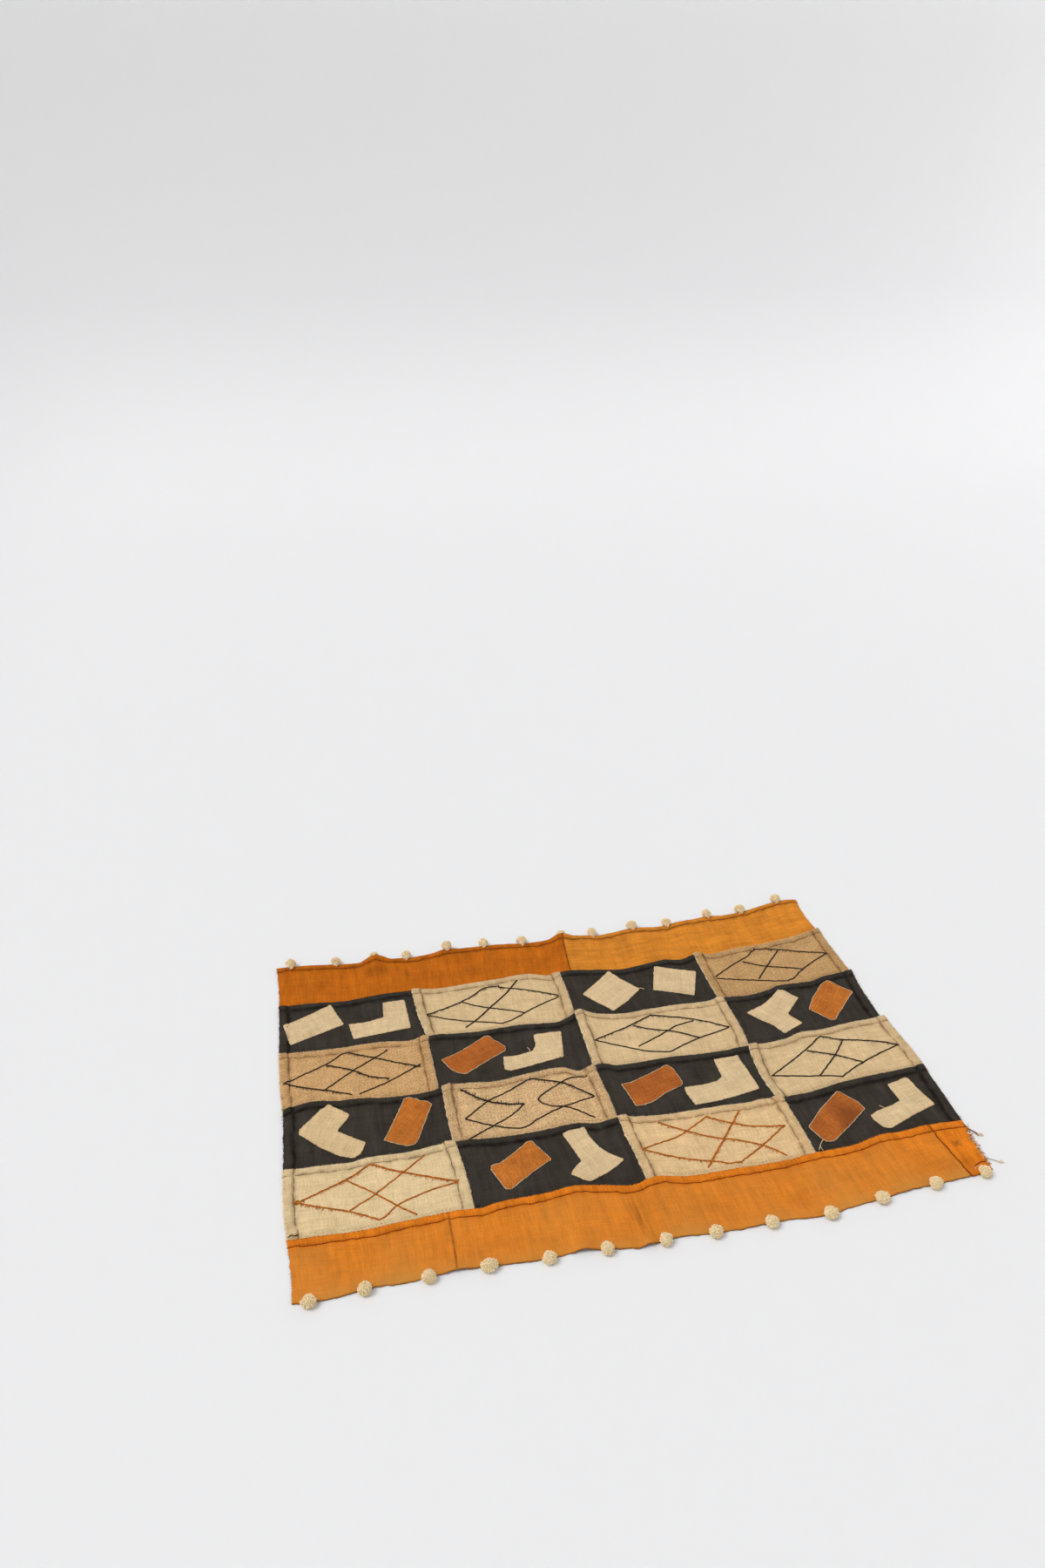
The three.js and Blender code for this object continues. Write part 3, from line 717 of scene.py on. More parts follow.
# Dirt and painted shade along the stitch grooves, worn and stained places with painted shade in creases,
# # painted shade at the hems' edges and undersides, frayed rims, and dye washed out of the bands.
def marksOn(piece, u, v):
    away = awayFrom(piece, u, v)
    dark, pale = 0 * u, 0 * u
    for side, edgeFold in piece["folds"].items():
        along = u if side in ("near", "far") else v
        inside = away[side] - stitchAt(piece, side, along)
        lineVariation = 0.8 + (0.45 if piece["natural"] else 0.2) * ripple(along, 0, 22, edgeFold["seed"] + 21)
        # the stitch groove is darkened with dirt and painted shade, unevenly along its length
        line = 0.6 * np.exp(-(inside / 2.2) ** 2) + 0.4 * np.exp(-(inside / 5) ** 2)
        dark = np.maximum(dark, edgeFold["dirt"] * lineVariation * line)
        if piece["natural"]:
            # the border strip between the edge and the stitches is made a little darker
            stripDarkening = 0.12 * (1 + 0.7 * ripple(u, v, 18, edgeFold["seed"] + 22))
            dark = np.maximum(dark, stripDarkening * plateau(away[side], 0.5, edgeFold["stitch"] - 1, 2))
            rim = 0.75 + 0.4 * ripple(along, 0, 9, piece["seed"] + 33)
            pale = np.maximum(pale, rim * np.exp(-(away[side] / 1.0) ** 2))
    for side in piece["joins"]:
        dark = np.maximum(dark, 0.35 * np.exp(-(away[side] / 1.6) ** 2))
    # real stains, and painted shade along creases
    for stain in stainsAndCreaseShade:
        (middleU, middleV), (halfU, halfV) = stain["at"], stain["size"]
        spot = np.exp(-((u - middleU) / halfU) ** 2 - ((v - middleV) / halfV) ** 2)
        dark = np.maximum(dark, stain["dark"] * spot)
    if piece["hem"]:
        edge = np.abs(v - lineAt(piece["hem"], u))
        # painted shade: a dark line along the hem's edge, where it meets the floor
        dark = np.maximum(dark, 0.5 * np.exp(-(edge / 0.8) ** 2))
        if piece["hem"] == "nearEdge" and piece["name"] != "near_band_end":
            cloudy = 1 + 0.3 * ripple(u, v, 110, 61)
            pale = smooth((away["far"] - 12) / 4) * (0.3 + 0.35 * np.exp(-(edge / 15) ** 1.5)) * cloudy
    return np.clip(dark, 0, 1), np.clip(pale, 0, 1)


naturalKinds = {(0, 1): "sand", (0, 3): "tan", (1, 0): "rough", (1, 2): "sand", (2, 1): "coarse",
                (2, 3): "sand", (3, 0): "pale", (3, 2): "honey"}
pieces = {}
for row in range(4):
    for column in range(4):
        piece = panelPiece(row, column)
        pieces[piece["name"]] = piece
        kind = naturalKinds.get((row, column), "black")
        makeSheet(piece, finishes[kind])

half = cloth["joinGap"] / 2
lap = cloth["lapWidth"]
nearFold, farFold = {"far": fold(11, dirt=0.25, seed=501)}, {"far": fold(10, puff=0.2, seed=502)}
nearUnder = {"near": 0, "far": 0, "left": 0, "right": 0}
farUnder = {"near": lap, "far": 0, "left": 0, "right": 0}
bands = [
    bandPiece("near_band_left", "nearBand", 0, nearFold, nearUnder, (0, half), 40),
    bandPiece("near_band_middle", "nearBand", 1, nearFold, nearUnder, (half, half), 41),
    bandPiece("near_band_end", "nearBand", 2, nearFold, nearUnder, (half, 0), 42),
    bandPiece("far_band_left", "farBand", 0, farFold, farUnder, (0, half), 43),
    bandPiece("far_band_right", "farBand", 1, farFold, farUnder, (half, 0), 44),
]
for piece in bands:
    pieces[piece["name"]] = piece
    kind = {"far_band_left": "rust", "far_band_right": "amber"}.get(piece["name"], "orange")
    makeSheet(piece, finishes[kind])
print("sheets made")


# Starts a Geometry Nodes tree whose sizes are named inputs.
def newGrowth(name, inputs):
    tree = bpy.data.node_groups.new(name, "GeometryNodeTree")
    tree.interface.new_socket("Geometry", in_out="INPUT", socket_type="NodeSocketGeometry")
    for label, kind in inputs.items():
        tree.interface.new_socket(label, in_out="INPUT", socket_type="NodeSocket" + kind)
    tree.interface.new_socket("Geometry", in_out="OUTPUT", socket_type="NodeSocketGeometry")
    entry = tree.nodes.new("NodeGroupInput")
    return tree, {socket.name: Plug(tree, socket) for socket in entry.outputs if socket.name}


# Ends it: each instance gets its own shade, then all become one mesh of one finish.
def closeGrowth(tree, instances, entry, core=None):
    shade = instances.node("FunctionNodeRandomValue", {"data_type": "FLOAT"}, {
        2: 0.0, 3: 1.0, 8: entry["Seed"]}, output=1)
    shape = instances.node("GeometryNodeStoreNamedAttribute", {"domain": "INSTANCE"}, {
        0: instances, 2: "shade", 3: shade})
    shape = shape.node("GeometryNodeRealizeInstances", None, {0: shape})
    place = shape.node("GeometryNodeInputPosition")
    x, y, z = [place.node("ShaderNodeSeparateXYZ", None, {0: place}, output=i) for i in range(3)]
    place = place.node("ShaderNodeCombineXYZ", None, {0: x, 1: y, 2: z.math("MAXIMUM", z, 0.05 * mm)})
    shape = shape.node("GeometryNodeSetPosition", None, {0: shape, 2: place})
    if core:
        join = tree.nodes.new("GeometryNodeJoinGeometry")
        tree.links.new(core.socket, join.inputs[0])
        tree.links.new(shape.socket, join.inputs[0])
        shape = Plug(tree, join.outputs[0])
    shape = shape.node("GeometryNodeSetMaterial", None, {0: shape, 2: entry["Finish"]})
    leave = tree.nodes.new("NodeGroupOutput")
    tree.links.new(shape.socket, leave.inputs[0])
    return tree


def randomBetween(plug, low, high, seed):
    return plug.node("FunctionNodeRandomValue", {"data_type": "FLOAT"}, {2: low, 3: high, 8: seed}, output=1)


def namedValue(plug, name, kind="FLOAT"):
    return plug.node("GeometryNodeInputNamedAttribute", {"data_type": kind}, {0: name})


# Stitches along paths. Each is a small flattened bead that lies along the path, turned by Slant,
# so that a close row reads as twisted thread and an open row as single stitches. The attribute
# chance is the share of stitches that show.
def stitchTree():
    tree, entry = newGrowth("stitches", {
        "Pitch": "Float", "Length": "Float", "Width": "Float", "Height": "Float", "Slant": "Float",
        "Loose": "Float", "Seed": "Int", "Finish": "Material"})
    path = entry["Geometry"].node("GeometryNodeMeshToCurve", None, {0: entry["Geometry"]})
    path = path.node("GeometryNodeResampleCurve", {"mode": "LENGTH"}, {0: path, 3: entry["Pitch"]})
    bead = path.node("GeometryNodeMeshUVSphere", None, {0: 6, 1: 3, 2: 0.53})
    bead = bead.node("GeometryNodeSetShadeSmooth", None, {0: bead})
    girth, seed = namedValue(path, "girth"), entry["Seed"]
    tangent = path.node("GeometryNodeInputTangent")
    lying = path.node("FunctionNodeAlignRotationToVector", {"axis": "X"}, {2: tangent})
    lying = path.node("FunctionNodeAlignRotationToVector", {"axis": "Z", "pivot_axis": "X"}, {
        0: lying, 2: (0, 0, 1)})
    yaw = entry["Slant"] + entry["Loose"] * randomBetween(path, -1.0, 1.0, seed + 1)
    turn = path.node("ShaderNodeCombineXYZ", None, {2: yaw})
    turn = path.node("FunctionNodeEulerToRotation", None, {0: turn})
    lying = path.node("FunctionNodeRotateRotation", {"rotation_space": "LOCAL"}, {0: lying, 1: turn})
    size = path.node("ShaderNodeCombineXYZ", None, {
        0: entry["Length"] * randomBetween(path, 0.85, 1.15, seed + 2),
        1: entry["Width"] * girth * randomBetween(path, 0.8, 1.2, seed + 3),
        2: entry["Height"] * girth * randomBetween(path, 0.85, 1.15, seed + 4)})
    kept = path.node("FunctionNodeRandomValue", {"data_type": "BOOLEAN"}, {
        6: namedValue(path, "chance"), 8: seed + 5}, output=3)
    beads = path.node("GeometryNodeInstanceOnPoints", None, {0: path, 1: kept, 2: bead, 5: lying, 6: size})
    return closeGrowth(tree, beads, entry)


# Fibres that stand out from paths. The attribute out gives their direction and mean length, and
# chance the share of places that carry one.
def fibreTree():
    tree, entry = newGrowth("fibres", {
        "Pitch": "Float", "Thickness": "Float", "Tip": "Float", "Spread": "Float", "Seed": "Int",
        "Finish": "Material"})
    path = entry["Geometry"].node("GeometryNodeMeshToCurve", None, {0: entry["Geometry"]})
    path = path.node("GeometryNodeResampleCurve", {"mode": "LENGTH"}, {0: path, 3: entry["Pitch"]})
    seed = entry["Seed"]
    fibre = path.node("GeometryNodeMeshCone", {"fill_type": "TRIANGLE_FAN"}, {
        0: 3, 1: 2, 2: 1, 3: entry["Tip"], 4: 0.5, 5: 1.0})
    sag = fibre.node("GeometryNodeInputPosition")
    height = sag.node("ShaderNodeSeparateXYZ", None, {0: sag}, output=2)
    sag = sag.node("ShaderNodeCombineXYZ", None, {0: height * height * 0.9})
    fibre = fibre.node("GeometryNodeSetPosition", None, {0: fibre, 3: sag})
    out = namedValue(path, "out", "FLOAT_VECTOR")
    reach = path.node("ShaderNodeVectorMath", {"operation": "LENGTH"}, {0: out}, output=1)
    stray = path.node("FunctionNodeRandomValue", {"data_type": "FLOAT_VECTOR"}, {
        0: (-1, -1, -0.5), 1: (1, 1, 0.5), 8: seed + 1})
    stray = path.node("ShaderNodeVectorMath", {"operation": "SCALE"}, {0: stray, 3: reach * entry["Spread"]})
    way = path.node("ShaderNodeVectorMath", {"operation": "ADD"}, {0: out, 1: stray})
    stand = path.node("FunctionNodeAlignRotationToVector", {"axis": "Z"}, {2: way})
    roll = path.node("ShaderNodeCombineXYZ", None, {2: randomBetween(path, 0.0, 6.28, seed + 2)})
    roll = path.node("FunctionNodeEulerToRotation", None, {0: roll})
    stand = path.node("FunctionNodeRotateRotation", {"rotation_space": "LOCAL"}, {0: stand, 1: roll})
    thick = entry["Thickness"] * randomBetween(path, 0.6, 1.3, seed + 3)
    size = path.node("ShaderNodeCombineXYZ", None, {
        0: thick, 1: thick, 2: reach * randomBetween(path, 0.4, 1.5, seed + 4)})
    grows = path.node("FunctionNodeRandomValue", {"data_type": "BOOLEAN"}, {
        6: namedValue(path, "chance"), 8: seed + 5}, output=3)
    fibres = path.node("GeometryNodeInstanceOnPoints", None, {0: path, 1: grows, 2: fibre, 5: stand, 6: size})
    return closeGrowth(tree, fibres, entry)


# A tuft: blunt cut strands all over a core. The attribute out gives the way they lie.
def tuftTree():
    tree, entry = newGrowth("tuft", {
        "Density": "Float", "Length": "Float", "Thickness": "Float", "Spread": "Float", "Hairs": "Float",
        "Seed": "Int", "Finish": "Material"})
    core, seed = entry["Geometry"], entry["Seed"]
    layers = tree.nodes.new("GeometryNodeJoinGeometry")
    for density, length, thickness, spread, sides, tip, shift in [
        (entry["Density"], entry["Length"], entry["Thickness"], entry["Spread"], 5, 0.46, 0),
        (entry["Hairs"], entry["Length"] * 1.8, entry["Thickness"] * 0.28, entry["Spread"] * 1.8, 3, 0.25, 20),
    ]:
        spots = core.node("GeometryNodeDistributePointsOnFaces", None, {
            0: core, 4: density, 6: seed + shift})
        normal = Plug(tree, spots.socket.node.outputs[1])
        strand = core.node("GeometryNodeMeshCone", {"fill_type": "TRIANGLE_FAN"}, {
            0: sides, 1: 1, 2: 1, 3: tip, 4: 0.5, 5: 1.0})
        strand = core.node("GeometryNodeTransform", None, {0: strand, 1: (0, 0, -0.35)})
        stray = core.node("FunctionNodeRandomValue", {"data_type": "FLOAT_VECTOR"}, {
            0: (-1, -1, -1), 1: (1, 1, 1), 8: seed + shift + 1})
        stray = core.node("ShaderNodeVectorMath", {"operation": "SCALE"}, {0: stray, 3: spread})
        way = core.node("ShaderNodeVectorMath", {"operation": "ADD"}, {0: normal, 1: stray})
        way = core.node("ShaderNodeVectorMath", {"operation": "ADD"}, {
            0: way, 1: namedValue(core, "out", "FLOAT_VECTOR")})
        stand = core.node("FunctionNodeAlignRotationToVector", {"axis": "Z"}, {2: way})
        thick = thickness * randomBetween(core, 0.7, 1.3, seed + shift + 2)
        size = core.node("ShaderNodeCombineXYZ", None, {
            0: thick, 1: thick, 2: length * randomBetween(core, 0.7, 1.3, seed + shift + 3)})
        strands = core.node("GeometryNodeInstanceOnPoints", None, {0: spots, 2: strand, 5: stand, 6: size})
        tree.links.new(strands.socket, layers.inputs[0])
    return closeGrowth(tree, Plug(tree, layers.outputs[0]), entry, core)


growths = {"stitches": stitchTree(), "fibres": fibreTree(), "tuft": tuftTree()}


# Grows a tree on a start mesh and keeps the result as a plain mesh.
def grow(piece, kind, settings):
    tree = growths[kind]
    modifier = piece.modifiers.new(kind, "NODES")
    modifier.node_group = tree
    for socket in tree.interface.items_tree:
        if socket.name in settings:
            modifier[socket.identifier] = settings[socket.name]
    graph = bpy.context.evaluated_depsgraph_get()
    mesh = bpy.data.meshes.new_from_object(piece.evaluated_get(graph), depsgraph=graph)
    piece.modifiers.clear()
    start, piece.data = piece.data, mesh
    bpy.data.meshes.remove(start)
    return piece


# One mesh of separate polylines. Each path has points, and may have girth, out and chance.
def addPaths(name, paths):
    points = np.concatenate([path["points"] for path in paths])
    edges, first = [], 0
    for path in paths:
        count = len(path["points"])
        edges += [(first + i, first + i + 1) for i in range(count - 1)]
        first += count
    piece = addMesh(name, points, [], None, edges)
    for label in ("girth", "chance"):
        addAttribute(piece, label, np.concatenate([np.full(len(path["points"]), path.get(label, 1)) for path in paths]))
    out = np.concatenate([path.get("out", 0 * path["points"]) for path in paths])
    piece.data.attributes.new("out", "FLOAT_VECTOR", "POINT").data.foreach_set(
        "vector", out.astype(np.float32).ravel())
    return piece


def addStitches(name, paths, finish, look, seed):
    piece = grow(addPaths(name, paths), "stitches", {**look, "Finish": finish, "Seed": seed})
    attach(piece, "root")


def addFibres(name, paths, finish, look, seed):
    piece = grow(addPaths(name, paths), "fibres", {**look, "Finish": finish, "Seed": seed})
    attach(piece, "root")


# A free path on a piece, through points given in millimetres.
def pathOn(piece, knots, lift, wobble=0.3, seed=0, spacing=2):
    knots = np.array(knots, float)
    run = np.concatenate([[0], np.cumsum(np.hypot(*np.diff(knots, axis=0).T))])
    along = np.linspace(0, run[-1], max(3, round(run[-1] / spacing)))
    u = curveAt(run, knots[:, 0], along) + wobble * ripple(along, 0, 11, seed)
    v = curveAt(run, knots[:, 1], along) + wobble * ripple(along, 50, 11, seed)
    return {"points": toFrame(u, v, topOf(piece, u, v) + lift)}


sideOut = {"far": (0, 1), "near": (0, -1), "left": (-1, 0), "right": (1, 0)}


# A path along a side of a piece, a distance in from it. Its fibres, if any, point out from the side.
def sidePath(piece, side, inside, lift, margin=0, spacing=2, fibre=0, chance=1, wobble=0):
    vertical = side in ("left", "right")
    length = 110 if vertical else piece["right"][1] - piece["left"][1]
    share = np.linspace(0, 1, round(length / spacing))
    zero, offset = 0 * share, margin * (1 - 2 * share)

    def at(depth):
        if side == "far":
            return placeIn(piece, share, offset, zero + 1, zero - depth)
        if side == "near":
            return placeIn(piece, share, offset, zero, zero + depth)
        if side == "left":
            return placeIn(piece, zero, zero + depth, share, offset)
        return placeIn(piece, zero + 1, zero - depth, share, offset)

    u, v = at(0)
    depth = stitchAt(piece, side, v if vertical else u) if inside == "stitch" else inside
    u, v = at(depth + wobble * (ripple(110 * share, 0, 16, piece["seed"]) + 0.5 * ripple(110 * share, 9, 6, 5)))
    points = toFrame(u, v, topOf(piece, u, v) + lift)
    x, y = sideOut[side]
    return {"points": points, "out": np.tile([x * fibre * mm, y * fibre * mm, 0], (len(u), 1)), "chance": chance}


# Rows of sewing. The beads of a row nearly touch, so it reads as one wavy thread.
sewing = {
    "natural": {"finish": "seam", "look": {"Pitch": 2.4 * mm, "Length": 2.9 * mm, "Width": 0.95 * mm,
                                           "Height": 0.7 * mm, "Slant": 0.08, "Loose": 0.18}},
    "black": {"finish": "black", "look": {"Pitch": 2.6 * mm, "Length": 2.9 * mm, "Width": 1.0 * mm,
                                          "Height": 0.7 * mm, "Slant": 0.1, "Loose": 0.2}},
    "orange": {"finish": "rust", "look": {"Pitch": 2.2 * mm, "Length": 3.0 * mm, "Width": 1.45 * mm,
                                           "Height": 1.0 * mm, "Slant": 0.15, "Loose": 0.35}},
}
tackLook = {"Pitch": 5.1 * mm, "Length": 1.8 * mm, "Width": 0.8 * mm, "Height": 0.6 * mm, "Slant": 0.2, "Loose": 0.9}
overLook = {"Pitch": 5.3 * mm, "Length": 2.4 * mm, "Width": 0.8 * mm, "Height": 0.7 * mm, "Slant": 1.2, "Loose": 0.9}
joinLook = {"Pitch": 2.4 * mm, "Length": 3.5 * mm, "Height": 0.8 * mm, "Slant": 0.1, "Loose": 0.35}
joins = {
    "near_band_left": {"thread": "orange", "width": 1.2, "wobble": 0.5},
    "near_band_middle": {"thread": "rust", "width": 1.7, "wobble": 1.0},
    "far_band_left": {"thread": "rust", "width": 1.1, "wobble": 0.7},
}


def sewPiece(piece):
    kind = "orange" if piece["hem"] else "natural" if piece["natural"] else "black"
    seed = piece["seed"]
    rows = [sidePath(piece, side, "stitch", 0.1, chance=0.75 if piece["natural"] else 1)
            for side in piece["folds"] if side != "near"]
    thread = {"panel_4_1": "grey", "panel_1_4": "brown"}.get(piece["name"], sewing[kind]["finish"])
    addStitches(piece["name"] + "_sewing", rows, threads[thread], sewing[kind]["look"], seed)
    tacks = []
    if piece["natural"]:
        tacks = [sidePath(piece, side, 1.7, 0, chance=0.5) for side in ("left", "right")]
        tacks.append(sidePath(piece, "near", "stitch", 0, chance=0.65))
    if "right" in piece["joins"]:
        join = joins[piece["name"]]
        seam = [sidePath(piece, "right", -cloth["joinGap"] / 2, 0.15, wobble=join["wobble"])]
        addStitches(piece["name"] + "_join", seam, threads[join["thread"]],
                    {**joinLook, "Width": join["width"] * mm}, seed + 65)
    if piece["hem"] == "nearEdge":
        tacks = [sidePath(piece, "near", 0.6, -0.5)]
        over = [sidePath(piece, "far", 1.2, -0.1, margin=2, chance=0.6)]
        addStitches(piece["name"] + "_overcast", over, threads["brown"], overLook, seed + 62)
    if piece["hem"] == "farEdge":
        tacks = [sidePath(piece, "far", 0.6, -0.5)]
    if tacks:
        addStitches(piece["name"] + "_tacks", tacks, threads["brown" if piece["hem"] else "tack"],
                    tackLook, seed + 60)


# Frayed edges: the length of the fibres in mm and the share of places that have one.
frays = {
    "far": {"fibre": 1.7, "chance": 0.8},
    "side": {"fibre": 1.5, "chance": 0.7},
    "outer": {"fibre": 2.4, "chance": 0.8},
    "hem": {"fibre": 1.0, "chance": 0.2},
    "torn": {"fibre": 5.6, "chance": 0.85},
    "pale": {"fibre": 5.0, "chance": 0.5},
    "under": {"fibre": 1.6, "chance": 0.35},
}
frayLook = {"Pitch": 1.1 * mm, "Thickness": 0.4 * mm, "Tip": 0.2, "Spread": 1.0}
tornLook = {"Pitch": 1.0 * mm, "Thickness": 0.9 * mm, "Tip": 0.25, "Spread": 0.6}


def frayPiece(piece):
    name, kind = piece["name"], "orange" if piece["hem"] else "natural" if piece["natural"] else "black"
    if piece["hem"] == "farEdge":
        sides = {"far": "hem"}
    else:
        sides = {"far": "far"}
        for side in ("left", "right"):
            if not piece["under"][side] and not piece["joins"]:
                sides[side] = "side"
    if piece["hem"] == "nearEdge":
        sides["near"] = "hem"
    if piece["left"] == piece["strip"]["seams"][0]:
        sides["left"] = "outer"
    if piece["right"] == piece["strip"]["seams"][-1] and name != "near_band_end":
        sides["right"] = "outer"
    finish, slot = threads[kind + "Fibre"], kind + "_raffia"
    rows = [sidePath(piece, side, 0.4, -0.35, **frays[how]) for side, how in sides.items()]
    addFibres(name + "_fray", rows, finish, frayLook, piece["seed"] + 70)
    if name == "near_band_end":
        rows = [sidePath(piece, "right", inside, -0.5, margin=10, **frays["torn"]) for inside in (0.6, 1.6)]
        addFibres(name + "_torn_edge", rows, finish, tornLook, piece["seed"] + 75)
        rows = [sidePath(piece, "right", 0.8, -0.3, margin=14, **frays["pale"])]
        addFibres(name + "_torn_fibres", rows, threads["naturalFibre"], tornLook,
                  piece["seed"] + 76)
    if kind == "black" and not name.startswith("panel_1"):
        rows = [sidePath(piece, "far", 0.3, 0.2, fibre=-frays["under"]["fibre"], chance=frays["under"]["chance"])]
        addFibres(name + "_caught_fibres", rows, threads["naturalFibre"], frayLook,
                  piece["seed"] + 80)


for piece in pieces.values():
    sewPiece(piece)
    frayPiece(piece)
print("seams and edges sewn")

# Applied patches: the panel that each is sewn on, its cloth and its outline.
patches = [
    {"on": "panel_1_1", "cloth": "natural", "finish": "cream", "outline": [(80, 518), (97, 470), (15, 441), (6, 486)]},
    {"on": "panel_1_1", "cloth": "natural", "finish": "cream", "outline": [
        (104, 469), (130, 468), (158, 473), (160, 507), (194, 508), (196, 441), (109, 434)]},
    {"on": "panel_1_3", "cloth": "natural", "finish": "cream", "outline": [(525, 505), (563, 454), (536, 430), (508, 412), (471, 461)]},
    {"on": "panel_1_3", "cloth": "natural", "finish": "cream", "outline": [(602, 502), (665, 477), (643, 421), (583, 447)]},
    {"on": "panel_2_2", "cloth": "brown", "stain": 0.25, "finish": "umber", "outline": [
        (231, 362), (258, 372), (305, 398), (328, 371), (327, 361), (301, 348), (262, 326), (252, 329), (242, 339)]},
    {"on": "panel_2_2", "cloth": "natural", "finish": "cream", "outline": [
        (321, 349), (340, 347), (366, 352), (373, 362), (375, 386), (417, 384), (408, 330), (326, 318), (318, 323)]},
    {"on": "panel_2_4", "cloth": "natural", "finish": "cream", "outline": [
        (707, 364), (738, 376), (757, 388), (775, 403), (783, 402), (800, 380), (768, 348), (782, 324),
        (746, 308), (736, 330), (722, 345)]},
    {"on": "panel_2_4", "cloth": "brown", "stain": 0.08, "finish": "brown", "outline": [
        (862, 410), (890, 375), (882, 368), (834, 320), (827, 321), (805, 351), (820, 373), (847, 401)]},
    {"on": "panel_3_1", "cloth": "natural", "finish": "sand", "outline": [
        (63, 306), (90, 282), (88, 276), (71, 255), (82, 246), (108, 226), (100, 208), (90, 202), (73, 209),
        (47, 230), (20, 260), (21, 268), (49, 297)]},
    {"on": "panel_3_1", "cloth": "brown", "stain": 0.15, "finish": "brown", "outline": [
        (168, 294), (176, 294), (205, 278), (177, 214), (171, 208), (160, 208), (132, 224)]},
    {"on": "panel_3_3", "cloth": "brown", "stain": 0.28, "finish": "umber", "outline": [
        (475, 258), (488, 258), (549, 280), (557, 273), (562, 244), (559, 237), (533, 228), (510, 216),
        (494, 212), (483, 213), (479, 238)]},
    {"on": "panel_3_3", "cloth": "natural", "finish": "cream", "outline": [
        (621, 276), (658, 276), (662, 245), (665, 208), (631, 201), (601, 198), (565, 197), (560, 221),
        (561, 233), (588, 232), (612, 235), (621, 242)]},
    {"on": "panel_4_2", "cloth": "brown", "stain": 0.1, "finish": "brown", "outline": [
        (265, 151), (279, 153), (322, 181), (327, 179), (346, 144), (318, 129), (283, 107), (277, 108),
        (264, 144)]},
    {"on": "panel_4_2", "cloth": "natural", "finish": "cream", "outline": [
        (370, 184), (379, 188), (402, 189), (405, 172), (413, 151), (424, 136), (440, 124), (428, 115),
        (411, 106), (387, 98), (381, 101), (365, 115), (368, 120), (384, 134), (380, 148), (375, 168)]},
    {"on": "panel_4_4", "cloth": "brown", "stain": 0.55, "finish": "umber", "outline": [
        (770, 179), (779, 168), (789, 155), (793, 140), (762, 118), (727, 95), (720, 94), (712, 98),
        (702, 125), (733, 153)]},
    {"on": "panel_4_4", "cloth": "natural", "finish": "cream", "outline": [
        (846, 177), (857, 178), (876, 183), (881, 181), (883, 163), (888, 142), (892, 127), (857, 116),
        (836, 108), (812, 99), (802, 102), (795, 118), (795, 127), (805, 131), (836, 139), (848, 143),
        (846, 164)]},
]
patchShape = {
    "step": 1.6,       # spacing of points round the outline
    "wobble": 0.35,
    "clear": 0.2,      # above the panel
    "thickness": 0.85,
    "fill": 4.0,       # spacing of points inside
    "rim": [(0, 0.35), (0.6, 0.8), (1.3, 1.0), (2.2, 0.85)],  # distance in, and share of the thickness
}


# A closed outline with points at even steps, slightly rounded corners and a little wobble.
def softOutline(corners, seed):
    corners = np.array(corners, float)
    following = np.roll(corners, -1, axis=0)
    if np.sum(corners[:, 0] * following[:, 1] - corners[:, 1] * following[:, 0]) < 0:
        corners = corners[::-1]
        following = np.roll(corners, -1, axis=0)
    points = []
    for (u0, v0), (u1, v1) in zip(corners, following):
        count = max(1, round(math.hypot(u1 - u0, v1 - v0) / patchShape["step"]))
        points += [(u0 + (u1 - u0) * i / count, v0 + (v1 - v0) * i / count) for i in range(count)]
    points = np.array(points)
    for _ in range(2):
        points = points / 2 + (np.roll(points, 1, axis=0) + np.roll(points, -1, axis=0)) / 4
    along = np.arange(len(points)) * patchShape["step"]
    return points + inward(points) * (patchShape["wobble"] * ripple(along, 0, 8, seed))[:, None]


def inward(points):
    ahead = np.roll(points, -1, axis=0) - np.roll(points, 1, axis=0)
    return np.stack([-ahead[:, 1], ahead[:, 0]], -1) / np.linalg.norm(ahead, axis=1)[:, None]


def isInside(points, outline):
    u, v = points[:, 0, None], points[:, 1, None]
    (u0, v0), (u1, v1) = outline.T, np.roll(outline, -1, axis=0).T
    crosses = ((v0 > v) != (v1 > v)) & (u < (u1 - u0) * (v - v0) / (v1 - v0 + 1e-9) + u0)
    return crosses.sum(1) % 2 == 1


